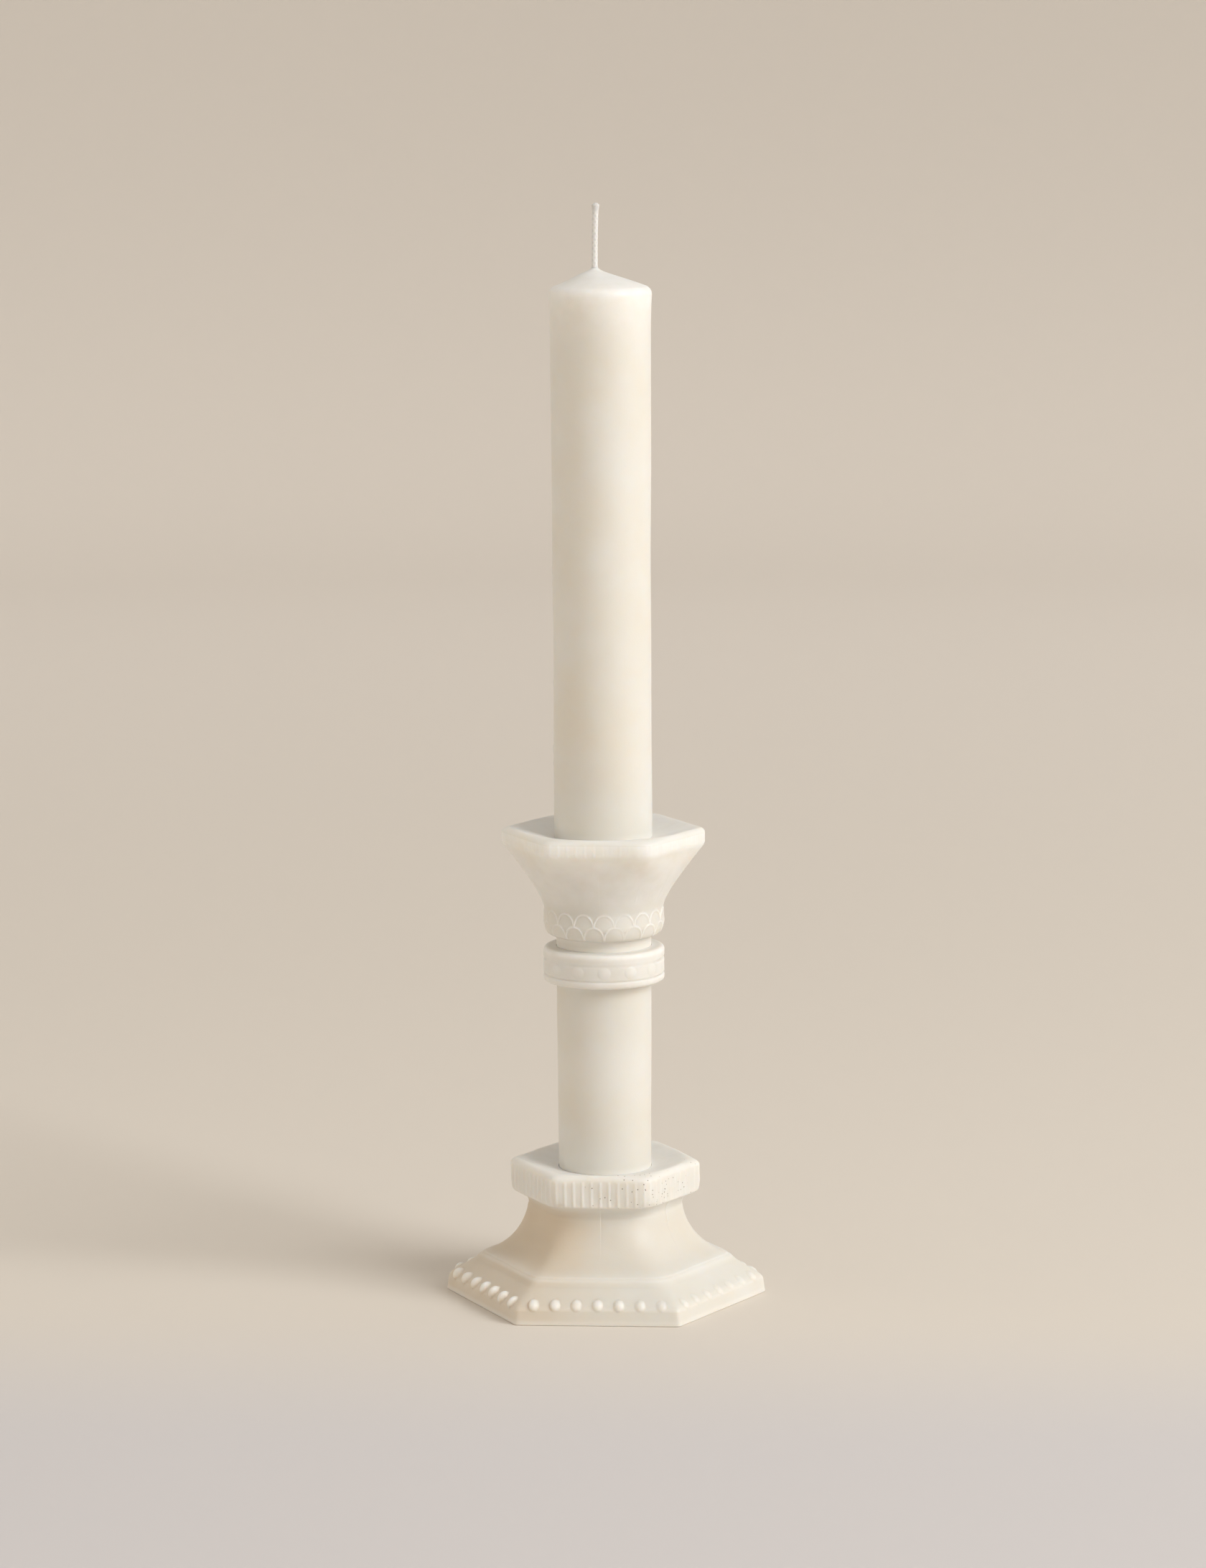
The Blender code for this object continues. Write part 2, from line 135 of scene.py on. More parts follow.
class WaxSettings(bpy.types.PropertyGroup):
    ivory: FloatVectorProperty(
        name="Ivory", description="Colour of the wax in its body", subtype="COLOR",
        min=0.0, max=1.0, default=linear("E3E1DA"))
    amber: FloatVectorProperty(
        name="Cloud", description="Warmer colour that drifts through the body", subtype="COLOR",
        min=0.0, max=1.0, default=linear("E1DCD0"))
    # Painted shade: the darker, warmer colour mixed into the foot's left side and its hollow neck
    painted_shade_colour: FloatVectorProperty(
        name="Deep", description="Warmest colour, where the wax is thickest and least frosted",
        subtype="COLOR", min=0.0, max=1.0, default=linear("D8C9B3"))
    # Painted light: the lighter colour mixed in near the joints, where light is lost between
    # castings
    joint_light_colour: FloatVectorProperty(
        name="Fresh", description="Colour of the wax that welds the joints", subtype="COLOR",
        min=0.0, max=1.0, default=linear("ECE9E2"))
    # Frost on raised wax, and painted light on the flare, the sunk tops, the lip under the collar
    # and the candle's top
    frost_and_light: FloatVectorProperty(
        name="Frost", description="Whiter colour of thin, raised and fast-cooled wax",
        subtype="COLOR", min=0.0, max=1.0, default=linear("EEECE7"))
    roughness: FloatProperty(
        name="Roughness", description="Satin of the cast surface", subtype="FACTOR",
        min=0.0, max=1.0, default=0.46)


class FootSettings(bpy.types.PropertyGroup):
    pearls: IntProperty(
        name="Pearls a side", description="Pearls along each side of the foot", min=1, default=7)
    pearl_pitch: FloatProperty(
        name="Pearl pitch", description="Distance between pearls", unit="LENGTH",
        default=4.74 * MM)
    pearl_rise: FloatProperty(
        name="Pearl rise", description="How proud a pearl stands", unit="LENGTH",
        default=0.95 * MM)


class CollarSettings(bpy.types.PropertyGroup):
    ridges: IntProperty(
        name="Ridges a side", description="Upright ridges along each side of the collar",
        min=1, default=11)
    ridge_pitch: FloatProperty(
        name="Ridge pitch", description="Distance between ridges", unit="LENGTH",
        default=1.98 * MM)
    ridge_rise: FloatProperty(
        name="Ridge rise", description="How proud a ridge stands", unit="LENGTH",
        default=0.22 * MM)


class RingSettings(bpy.types.PropertyGroup):
    knobs: IntProperty(
        name="Knobs", description="Low knobs around the ring", min=1, default=14)
    knob_rise: FloatProperty(
        name="Knob rise", description="How proud a knob stands", unit="LENGTH",
        default=0.17 * MM)


class CupSettings(bpy.types.PropertyGroup):
    ridges: IntProperty(
        name="Ridges a side", description="Upright ridges along each side of the rim",
        min=1, default=12)
    ridge_pitch: FloatProperty(
        name="Ridge pitch", description="Distance between ridges", unit="LENGTH",
        default=1.95 * MM)
    ridge_rise: FloatProperty(
        name="Ridge rise", description="How proud a ridge stands", unit="LENGTH",
        default=0.2 * MM)
    scales: IntProperty(
        name="Scales", description="Scales in each row around the bowl", min=1, default=18)
    scale_rise: FloatProperty(
        name="Scale rise", description="How proud a scale's rim stands", unit="LENGTH",
        default=0.22 * MM)


class WickSettings(bpy.types.PropertyGroup):
    strands: IntProperty(
        name="Strands", description="Braid strands that run each way round the wick",
        min=1, default=4)
    lay: FloatProperty(
        name="Lay", description="Height in which a strand goes once round", unit="LENGTH",
        default=5.2 * MM)


class StudioSettings(bpy.types.PropertyGroup):
    paper: FloatVectorProperty(
        name="Paper", description="Colour of the backdrop paper", subtype="COLOR",
        min=0.0, max=1.0, default=linear("E5DBCD"))
    # Painted light: the paper far behind the candle is lighter
    far_paper_light: FloatVectorProperty(
        name="Far paper", description="Colour of the paper far behind the candle",
        subtype="COLOR", min=0.0, max=1.0, default=linear("F4EBDF"))
    # Painted shade: the paper where it rises to the wall is darker than far behind
    wall_paper_shade: FloatVectorProperty(
        name="Wall paper", description="Colour of the paper where it has risen to the wall",
        subtype="COLOR", min=0.0, max=1.0, default=linear("E3DACE"))
    # Painted shade: the paper in front of the candle is darker and cooler
    near_paper_shade: FloatVectorProperty(
        name="Near paper", description="Colour of the paper in front of the candle",
        subtype="COLOR", min=0.0, max=1.0, default=linear("D9D3CF"))
    key_power: FloatProperty(
        name="Key light", description="Power of the softbox", unit="POWER", default=39.5)
    fill_power: FloatProperty(
        name="Fill light", description="Power of the fill panel", unit="POWER", default=3.6)
    air: FloatProperty(
        name="Room light", description="Strength of the light from all round", default=0.59)


class CandleSettings(bpy.types.PropertyGroup):
    wax: PointerProperty(type=WaxSettings)
    foot: PointerProperty(type=FootSettings)
    collar: PointerProperty(type=CollarSettings)
    ring: PointerProperty(type=RingSettings)
    cup: PointerProperty(type=CupSettings)
    wick: PointerProperty(type=WickSettings)
    studio: PointerProperty(type=StudioSettings)


# ---------------------------------------------------------------- shapes

def stretch(start, end, pieces):
    """Points from start towards end on a straight line; the end is left to what follows."""
    shares = [i / pieces for i in range(pieces)]
    return [(start[0] + (end[0] - start[0]) * t, start[1] + (end[1] - start[1]) * t)
            for t in shares]


def bend(start, corner, end, pieces):
    """Points from start towards end on a curve that rounds a corner; the end is left out."""
    points = []
    for i in range(pieces):
        t = i / pieces
        points.append(tuple(a * (1 - t) ** 2 + 2 * b * t * (1 - t) + c * t * t
                            for a, b, c in zip(start, corner, end)))
    return points


def arc(centre, radius, start, end, pieces):
    """Points on a circle from the start angle to the end angle, in degrees, end included."""
    angles = [math.radians(start + (end - start) * i / pieces) for i in range(pieces + 1)]
    return [(centre[0] + radius * math.cos(a), centre[1] + radius * math.sin(a)) for a in angles]


def turn(name, profile, steps, closed=True):
    """Turns a profile about Z: a coarse spin, then each step of it cut finer.

    Returns the mesh and, for each of its points, its angle and its row in the profile.
    """
    shape = bmesh.new()
    number = shape.verts.layers.int.new("profile_row")
    line = []
    for index, row in enumerate(profile):
        vert = shape.verts.new((row[0], 0.0, row[1]))
        vert[number] = index
        line.append(vert)
    pairs = zip(line, line[1:] + line[:1]) if closed else zip(line, line[1:])
    edges = [shape.edges.new(pair) for pair in pairs]
    coarse = SPIN_STEPS if steps > SPIN_STEPS else steps
    bmesh.ops.spin(shape, geom=line + edges, cent=(0, 0, 0), axis=(0, 0, 1), angle=math.tau,
                   steps=coarse, use_merge=True)
    bmesh.ops.remove_doubles(shape, verts=shape.verts, dist=0.001 * MM)
    if steps > coarse:
        around = [edge for edge in shape.edges
                  if edge.verts[0][number] == edge.verts[1][number]]
        bmesh.ops.subdivide_edges(shape, edges=around, cuts=steps // coarse - 1)
    bmesh.ops.recalc_face_normals(shape, faces=shape.faces)
    if any(not edge.is_manifold for edge in shape.edges):
        raise RuntimeError(f"{name} isn't closed")
    mesh = bpy.data.meshes.new(name)
    shape.to_mesh(mesh)
    shape.free()
    points = read_points(mesh)
    rows = np.zeros(len(mesh.vertices), np.int32)
    mesh.attributes["profile_row"].data.foreach_get("value", rows)
    mesh.attributes.remove(mesh.attributes["profile_row"])
    return mesh, np.arctan2(points[:, 1], points[:, 0]), rows


def read_points(mesh):
    points = np.zeros(len(mesh.vertices) * 3, np.float32)
    mesh.vertices.foreach_get("co", points)
    return points.reshape(-1, 3).astype(float)


def write_points(mesh, points):
    mesh.vertices.foreach_set("co", points.astype(np.float32).ravel())
    mesh.update()


def set_round(mesh, angle, reach, height, shift=0.0):
    """Puts each point at a reach from the axis, an angle round it and a height."""
    write_points(mesh, np.column_stack((reach * np.cos(angle) + shift, reach * np.sin(angle),
                                        height)))


def paint(mesh, name, values):
    """Keeps a number from 0 to 1 on each point for the materials."""
    layer = mesh.attributes.new(name, "FLOAT", "POINT")
    layer.data.foreach_set("value", np.clip(values, 0.0, 1.0).astype(np.float32))


def bump(distance, half_width):
    """1 in the middle of a ridge, falling smoothly to 0 at its half width."""
    return np.cos(np.clip(np.abs(distance) / half_width, 0.0, 1.0) * math.pi / 2) ** 2


def fade(value, start, end):
    """0 before start, 1 after end, smooth between them."""
    share = np.clip((value - start) / (end - start), 0.0, 1.0)
    return share * share * (3 - 2 * share)


def ripple(angle, height, waves):
    """A slow unevenness: the sum of waves (turns round, height of a wave, size, start)."""
    total = np.zeros_like(angle)
    for turns, rise, size, start in waves:
        total += size * np.sin(turns * angle + math.tau * height / rise + start)
    return total


def hexagon(angle, sharpness):
    """Reach of a six-sided outline, 1 at its corners, which round as sharpness falls."""
    total = np.zeros_like(angle)
    for side in range(SIDES):
        facing = np.cos(angle - math.tau * (side + 0.5) / SIDES)
        total += np.clip(facing, 0.0, None) ** sharpness
    return 2.0 ** (1.0 / sharpness) / CORNER_PER_FLAT * total ** (-1.0 / sharpness)


def corner_of(flat, sharpness):
    """Corner radius of a six-sided outline whose sides lie at flat."""
    return flat * CORNER_PER_FLAT / 2.0 ** (1.0 / sharpness)


def side_turn(angle):
    """Angle from the middle of the nearest side."""
    sector = math.tau / SIDES
    return angle % sector - sector / 2


def side_repeats(along, pitch, count):
    """Distance to the nearest of count things that lie a pitch apart along a side."""
    nearest = np.clip(np.round(along / pitch + (count - 1) / 2), 0, count - 1)
    return along - (nearest - (count - 1) / 2) * pitch


def corner_values(angle, values):
    """The value of the nearest corner, for corners listed from +X round through +Y."""
    nearest = np.round(angle / (math.tau / SIDES)).astype(int) % SIDES
    return np.array(values)[nearest]


def worn_hexagon(angle, sharpness, keep):
    """A six-sided outline whose sharpness is multiplied by keep; its sides stay in place."""
    left = sharpness * keep
    return hexagon(angle, left) * corner_of(1.0, left) / corner_of(1.0, sharpness)


def angle_from(angle, middle):
    """Signed angle from middle, from minus half a turn to half a turn."""
    return (angle - middle + math.pi) % math.tau - math.pi


def columns(rows):
    """The rows of a profile as arrays of radii, heights, sharpnesses and squarenesses."""
    return np.array([tuple(row) for row in rows], float).T


def stem_radius(height):
    share = (height - STEM_BOTTOM) / (STEM_TOP - STEM_BOTTOM)
    return STEM_RADIUS - STEM_TAPER * (1.0 - share)


def wick_shift(height):
    """How far off the axis the wick lies, along X, at heights in an array."""
    rise = fade(height, WICK_DRIFT_START, CANDLE_TOP)
    free = np.clip((height - CANDLE_TOP) / (WICK_TOP - CANDLE_TOP), 0.0, 1.0)
    return WICK_DRIFT * rise + WICK_TIP_LEAN * free ** 2


# ---------------------------------------------------------------- pieces

def finish_piece(mesh, node, material, room=None):
    """Makes the object, gives it its wax and puts it in the place of a CAD node.

    Room is each point's distance to the nearest face that another casting covers. Light
    travels less far in the wax near such a face, so that the joint doesn't swallow it.
    """
    if room is not None:
        paint(mesh, "glow", np.clip(JOINT_GLOW * room / GLOW_DEPTH, 0.02, 1.0))
        # Painted light: the wax is lighter near faces that another casting covers
        paint(mesh, "joint_light", 1.0 - room / (1.5 * MM))
    mesh.shade_smooth()
    mesh.set_sharp_from_angle(angle=math.radians(62.0))
    piece = bpy.data.objects.new(node + "_piece", mesh)
    bpy.context.scene.collection.objects.link(piece)
    mesh.materials.append(material)
    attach(piece, "root")
    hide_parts(node)
    return piece


def foot_rows():
    """The foot's profile: top, hollow neck, ridge, pearl slope, band, underside, bores."""
    top = FOOT_TOP + GAP - WELD
    rows = [Row(SOCKET_RADIUS, top), Row(14.0 * MM, top, 14, 0.5)]
    neck = arc((20.8 * MM, 20.7 * MM), 2.95 * MM, 112.0, 182.0, 8)
    neck += arc((31.35 * MM, 22.2 * MM), 13.5 * MM, 188.0, 255.5, 26)
    sharp_heights = [3.2 * MM, 5.0 * MM, 9.0 * MM, 13.0 * MM, 19.0 * MM]
    sharp_values = [110.0, 60.0, 38.0, 17.0, 12.0]

    def add(points, by_flat):
        for radius, height in points:
            sharpness = float(np.interp(height, sharp_heights, sharp_values))
            if by_flat:
                radius = corner_of(radius, sharpness)
            rows.append(Row(radius, height, sharpness, 1.0))

    add(neck, False)
    ridge = (24.75 * MM, 8.95 * MM)
    step = (25.3 * MM, 8.75 * MM)
    step_end = (25.65 * MM, 8.3 * MM)
    slope_corner = (25.95 * MM, 7.9 * MM)
    slope_top = (26.5 * MM, 7.35 * MM)
    slope_end = (29.9 * MM, 4.85 * MM)
    rim = (31.35 * MM, 3.9 * MM)
    band_top = (31.35 * MM, 3.0 * MM)
    edge = 0.35 * MM
    add(bend(ridge, step, step_end, 5), True)
    add(bend(step_end, slope_corner, slope_top, 4), True)
    add(stretch(slope_top, slope_end, 15), True)
    add(bend(slope_end, rim, band_top, 9), True)
    add(stretch(band_top, (FOOT_FLAT, edge), 5), True)
    add(bend((FOOT_FLAT, edge), (FOOT_FLAT, 0.0), (FOOT_FLAT - edge, 0.0), 3), True)
    recess = PLUG_RADIUS + GAP
    rows.append(Row(corner_of(FOOT_FLAT - edge, 110.0), 0.0, 110.0, 1.0))
    rows.append(Row(recess + 4.0 * MM, 0.0, 14, 0.3))
    rows.append(Row(recess + GAP, 0.0))
    rows.append(Row(recess, GAP))
    rows.append(Row(recess, RECESS_DEPTH))
    rows.append(Row(CRIMP_RADIUS + GAP, RECESS_DEPTH))
    rows.append(Row(CRIMP_RADIUS + GAP, CRIMP_TOP + GAP))
    rows.append(Row(WICK_RADIUS + GAP, CRIMP_TOP + GAP))
    rows.append(Row(WICK_RADIUS + GAP, SOCKET_FLOOR))
    rows.append(Row(SOCKET_RADIUS, SOCKET_FLOOR))
    return rows


def row_normals(radius, height):
    """Outward direction of the profile at each row, and the length along it."""
    run = np.gradient(radius)
    drop = np.gradient(height)
    size = np.hypot(run, drop)
    length = np.concatenate(([0.0], np.cumsum(np.hypot(np.diff(radius), np.diff(height)))))
    return -drop / size, run / size, length


def make_foot(settings, material):
    """The six-sided foot: hollow sides, a ridge, and pearls along the slope below it."""
    rows = foot_rows()
    mesh, angle, row = turn("foot_piece", rows, 1080)
    radius, height, sharpness, squareness = columns(rows)
    flats = radius / (CORNER_PER_FLAT / 2.0 ** (1.0 / sharpness))
    out, up, length = row_normals(flats, height)
    outer = squareness == 1.0
    level = height[row]
    worn = corner_values(angle, FOOT_CORNERS)
    keep = 1.0 + (worn - 1.0) * fade(level, 3.4 * MM, 7.0 * MM)
    outline = 1.0 + (worn_hexagon(angle, sharpness[row], keep) - 1.0) * squareness[row]
    reach = radius[row] * outline
    off = side_turn(angle)

    pearl_flat = 30.35 * MM
    slope = outer & (height > 1.0 * MM) & (height < 7.5 * MM)
    pearl_row = np.argmin(np.where(slope, np.abs(flats - pearl_flat), 1.0))
    down = length[row] - length[pearl_row]
    along = reach * np.sin(off)
    across = side_repeats(along, settings.pearl_pitch, settings.pearls)
    uneven = 1.0 + ripple(angle, level, ((5, 1.0, 0.10, 0.4), (13, 1.0, 0.08, 2.0)))
    bearings = np.degrees(angle_from(angle, math.radians(-90.0)))
    full = np.interp(bearings, PEARL_BEARINGS, PEARL_FULLNESS)
    half_width = (1.0 + 0.28 * full) * MM
    half_length = np.where(down > 0.0, 1.35 + 0.25 * full, 1.6) * MM
    spread = (across / half_width) ** 2 + (down / half_length) ** 2
    pearl = np.clip(1.0 - spread, 0.0, None) ** 0.75 * uneven * full
    pearl *= slope[row]
    rise = settings.pearl_rise * pearl
    out_rise = rise * out[row] / np.cos(off)
    wave = ripple(angle, level, ((4, 0.03, 0.06 * MM, 0.3), (7, 0.012, 0.04 * MM, 1.9)))
    wave = (wave - 0.1 * MM) * outer[row] * fade(level, 3.2 * MM, 6.0 * MM)
    reach = np.minimum(reach + out_rise + wave, FOOT_FLAT / np.cos(off))
    set_round(mesh, angle, reach, level + rise * up[row])
    # Frost on the pearls, crest and band; the lighter lip in the collar's shadow is painted light
    crest = fade(level, 8.0 * MM, 8.7 * MM) * (1.0 - fade(level, 9.0 * MM, 10.0 * MM))
    band = 1.0 - fade(level, 3.0 * MM, 4.4 * MM)
    lip = fade(level, 21.0 * MM, 23.0 * MM)
    paint(mesh, "frost_and_light", outer[row] * (1.1 * pearl + 0.25 * crest + 0.15 * band + 0.4 * lip))
    # Painted shade: the foot's left side and its hollow neck are darker and warmer
    hollow = fade(level, 8.6 * MM, 11.0 * MM) * (1.0 - fade(level, 18.0 * MM, 22.0 * MM))
    left = fade(-np.cos(angle), -0.2, 0.7)
    paint(mesh, "painted_shade", outer[row] * (0.2 * hollow + 0.8 * left))
    room = np.minimum.reduce((level, FOOT_TOP + GAP - level, reach - SOCKET_RADIUS))
    return finish_piece(mesh, "foot", material, room)


def worn_top(angle, side_reach, disc_radius, crispness, inset):
    """Edge of a flat top: a worn disc, or the six-sided outline at its crisp corners."""
    keep = corner_values(angle, crispness)
    sharp = side_reach - inset
    return disc_radius + (np.maximum(sharp, disc_radius) - disc_radius) * keep


def make_collar(settings, material):
    """The fluted slab on the foot: its top edge is worn round towards the front right."""
    bore = stem_radius(COLLAR_TOP)
    edge = 1.4 * MM
    base_flat = COLLAR_FLAT - settings.ridge_rise
    side_top = COLLAR_TOP - edge
    lip = 0.5 * MM
    lip_top = COLLAR_BOTTOM + 0.7 * MM
    sharp = COLLAR_SIDE_SHARPNESS
    lip_sharp = 13.0
    rows = [Row(bore + WELD, COLLAR_SEAT)]
    flat_start = len(rows)
    rows += [Row(bore + 0.4 * MM, COLLAR_SEAT, sharp, 1.0)] * 6
    flat_end = len(rows)
    edge_steps = 9
    rows += [Row(0.0, COLLAR_TOP - edge * (1 - math.sin(math.pi / 2 * (1 - i / edge_steps))),
                 sharp, 1.0) for i in range(edge_steps)]
    edge_end = len(rows)
    side = stretch((base_flat, side_top), (base_flat, lip_top), 18)
    side += bend((base_flat, lip_top), (base_flat, COLLAR_BOTTOM),
                 (base_flat - lip, COLLAR_BOTTOM), 5)
    for radius, height in side:
        sharpness = float(np.interp(height, [24.0 * MM, 26.3 * MM], [lip_sharp, sharp]))
        rows.append(Row(corner_of(radius, sharpness), height, sharpness, 1.0))
    rows += [Row(corner_of(base_flat - lip, lip_sharp), COLLAR_BOTTOM, lip_sharp, 1.0),
             Row(SOCKET_RADIUS, COLLAR_BOTTOM), Row(SOCKET_RADIUS, COLLAR_SEAT - edge),
             Row(bore + WELD, COLLAR_SEAT - 0.3 * MM)]

    place = list(rows)
    for index, row in enumerate(rows):       # spread the rows that are placed by angle below
        if row.radius == 0.0 or flat_start < index < flat_end:
            place[index] = row._replace(radius=bore + (1.0 + 0.1 * index) * MM)
    mesh, angle, row = turn("foot_collar_piece", place, 1008)
    radius, height, sharpness, squareness = columns(rows)
    keep = corner_values(angle, COLLAR_CORNERS)
    outline = 1.0 + (worn_hexagon(angle, sharpness[row], keep) - 1.0) * squareness[row]
    reach = radius[row] * outline
    level = height[row]
    off = side_turn(angle)
    side_reach = corner_of(base_flat, sharp) * worn_hexagon(angle, sharp, keep)
    top_reach = worn_top(angle, side_reach, 17.75 * MM, COLLAR_TOP_CORNERS, edge)
    flat_share = np.clip((row - flat_start) / (flat_end - flat_start), 0.0, 1.0)
    on_flat = (row >= flat_start) & (row < flat_end)
    seat_reach = bore + 0.4 * MM
    reach = np.where(on_flat, seat_reach + (top_reach - seat_reach) * flat_share, reach)
    level = np.where(on_flat, COLLAR_SEAT + (COLLAR_TOP - COLLAR_SEAT) * flat_share, level)
    on_edge = (row >= flat_end) & (row < edge_end)
    turned = np.clip((row - flat_end) / edge_steps, 0.0, 1.0) * math.pi / 2
    reach = np.where(on_edge, top_reach + (side_reach - top_reach) * np.sin(turned), reach)

    across = side_repeats(reach * np.sin(off), settings.ridge_pitch, settings.ridges)
    back = fade(np.sin(angle - math.radians(15.0)), 0.0, 0.5)
    ridge_top = side_top + edge * (0.05 + 0.8 * back)
    ends = fade(level, COLLAR_BOTTOM + 0.1 * MM, COLLAR_BOTTOM + 0.5 * MM)
    ends *= 1.0 - fade(level, ridge_top - 0.3 * MM, ridge_top + 0.15 * MM)
    foot_bulb = bump(level - (COLLAR_BOTTOM + 0.75 * MM), 0.6 * MM)
    uneven = 1.0 + ripple(angle, level, ((3, 1.0, 0.18, 0.9), (17, 1.0, 0.12, 2.0)))
    ridge = bump(across, (0.52 + 0.12 * foot_bulb) * MM) * ends * uneven
    ridge *= (row >= flat_end) & (squareness[row] == 1.0)
    rubbed = fade(angle_from(angle, math.radians(-90.0)), 0.1, 1.2) * (1.0 - back)
    ridge *= (0.6 + 0.4 * back) * (1.0 - 0.5 * rubbed)
    wave = ripple(angle, level, ((5, 0.02, 0.04 * MM, 0.7), (11, 0.011, 0.025 * MM, 0.2)))
    wave *= fade(reach, 15.0 * MM, 18.0 * MM)
    set_round(mesh, angle, reach + wave + settings.ridge_rise * ridge / np.cos(off), level)
    # Frost on the rim and ridges; the lighter sunk top round the stem is painted light
    rim = fade(reach, 17.4 * MM, 18.4 * MM)
    paint(mesh, "frost_and_light", (0.5 + 0.4 * ridge) * rim + 0.6 * on_flat)
    front_right = bump(angle_from(angle, math.radians(-52.0)), math.radians(60.0))
    paint(mesh, "pits", front_right * fade(reach, 16.8 * MM, 18.2 * MM))
    seat_edge = np.hypot(level - COLLAR_BOTTOM, np.maximum(reach - 18.5 * MM, 0.0))
    room = np.minimum(np.where(on_flat, 0.4, 1.0) * (reach - bore), seat_edge)
    return finish_piece(mesh, "foot_collar", material, room)


def make_stem(material):
    """A plain round column, a hair thicker where the pour slowed."""
    bore = WICK_RADIUS + GAP
    rows = stretch((stem_radius(STEM_TOP), STEM_TOP), (stem_radius(STEM_BOTTOM), STEM_BOTTOM), 186)
    rows += [(stem_radius(STEM_BOTTOM), STEM_BOTTOM)]
    rows += stretch((bore, STEM_BOTTOM), (bore, STEM_TOP), 10) + [(bore, STEM_TOP)]
    rows = [Row(*point) for point in rows]
    mesh, angle, row = turn("stem_piece", rows, 144)
    radius, height, _, _ = columns(rows)
    reach, level = radius[row], height[row]
    wave = ripple(angle, level, ((2, 0.055, 0.03 * MM, 0.5), (3, 0.03, 0.02 * MM, 2.2)))
    wave = np.where(reach > bore * 2, wave - 0.05 * MM, 0.0)
    set_round(mesh, angle, reach + wave, level)
    paint(mesh, "frost_and_light", np.zeros_like(level))
    shaft_room = np.minimum(level - COLLAR_SEAT, RING_BOTTOM - level)
    neck_room = np.minimum(level - RING_TOP, CUP_BOTTOM - level)
    return finish_piece(mesh, "stem", material, np.maximum(shaft_room, neck_room))


def make_ring(settings, material):
    """A disc with a rolled upper edge over a knobbed band and a lip, nicked at the mould seam."""
    neck = stem_radius(RING_TOP)
    roll = 1.3 * MM
    side = RING_RADIUS - settings.knob_rise
    upper_groove = 77.6 * MM
    knob_level = 76.1 * MM
    lower_groove = 74.15 * MM
    lip_level = 73.6 * MM
    rows = [Row(neck + WELD, RING_TOP)]
    rows += [Row(*point) for point in
             stretch((neck + 0.8 * MM, RING_TOP), (side - roll, RING_TOP), 3)
             + bend((side - roll, RING_TOP), (side, RING_TOP), (side, RING_TOP - roll), 10)
             + stretch((side, RING_TOP - roll), (side, RING_BOTTOM + 0.9 * MM), 34)
             + bend((side, RING_BOTTOM + 0.9 * MM), (side, RING_BOTTOM),
                    (side - 0.9 * MM, RING_BOTTOM), 6)]
    rows += [Row(side - 0.9 * MM, RING_BOTTOM), Row(neck + WELD, RING_BOTTOM)]
    mesh, angle, row = turn("ring_collar_piece", rows, 720)
    radius, height, _, _ = columns(rows)
    reach, level = radius[row], height[row]
    shell = reach > side - 0.5 * MM

    seam = bump(angle_from(angle, 0.0), math.radians(34.0))
    seam += 0.25 * bump(angle_from(angle, math.pi), math.radians(40.0))
    groove = bump(level - upper_groove, 0.5 * MM) * (0.05 + 0.6 * seam)
    groove += bump(level - lower_groove, 0.35 * MM) * (0.18 + 0.25 * seam)
    sector = math.tau / settings.knobs
    around = angle_from(angle, FRONT)
    knob_across = (around - np.round(around / sector) * sector) * side
    spread = (knob_across / (1.5 * MM)) ** 2 + ((level - knob_level) / (1.4 * MM)) ** 2
    knob = np.clip(1.0 - spread, 0.0, None) ** 0.8
    wave = ripple(angle, level, ((3, 0.02, 0.04 * MM, 0.1), (8, 0.009, 0.03 * MM, 1.0)))
    change = (settings.knob_rise * knob - groove * MM + wave) * shell
    set_round(mesh, angle, reach + change, level)
    rolled = bump(level - (RING_TOP - 0.75 * MM), 1.0 * MM)
    lip = bump(level - lip_level, 0.6 * MM)
    paint(mesh, "frost_and_light", shell * (0.5 + 0.15 * knob + 0.5 * rolled + 0.3 * lip))
    return finish_piece(mesh, "ring_collar", material, reach - neck)


def scale_relief(settings, angle, level):
    """Two rows of arched scales, the lower laid over the upper: rim lines and fill."""
    sector = math.tau / settings.scales
    half_width = 2.25 * MM
    rise = 2.7 * MM
    rim = np.zeros_like(angle)
    fill = np.zeros_like(angle)
    for base, phase in ((86.5 * MM, 0.0), (83.7 * MM, sector / 2)):
        around = angle_from(angle, FRONT + phase)
        across = (around - np.round(around / sector) * sector) * 13.45 * MM
        size = np.hypot(across / half_width, (level - base) / rise)
        inside = (size < 1.0) & (level > base - 1.2 * MM)
        line = bump((size - 1.0) * half_width, 0.3 * MM) * (level > base - 0.4 * MM)
        rim = np.where(inside, 0.0, rim)
        rim = np.maximum(rim, line)
        fill = np.where(inside, 0.35 * (1.0 - size ** 2), fill)
    return rim, fill


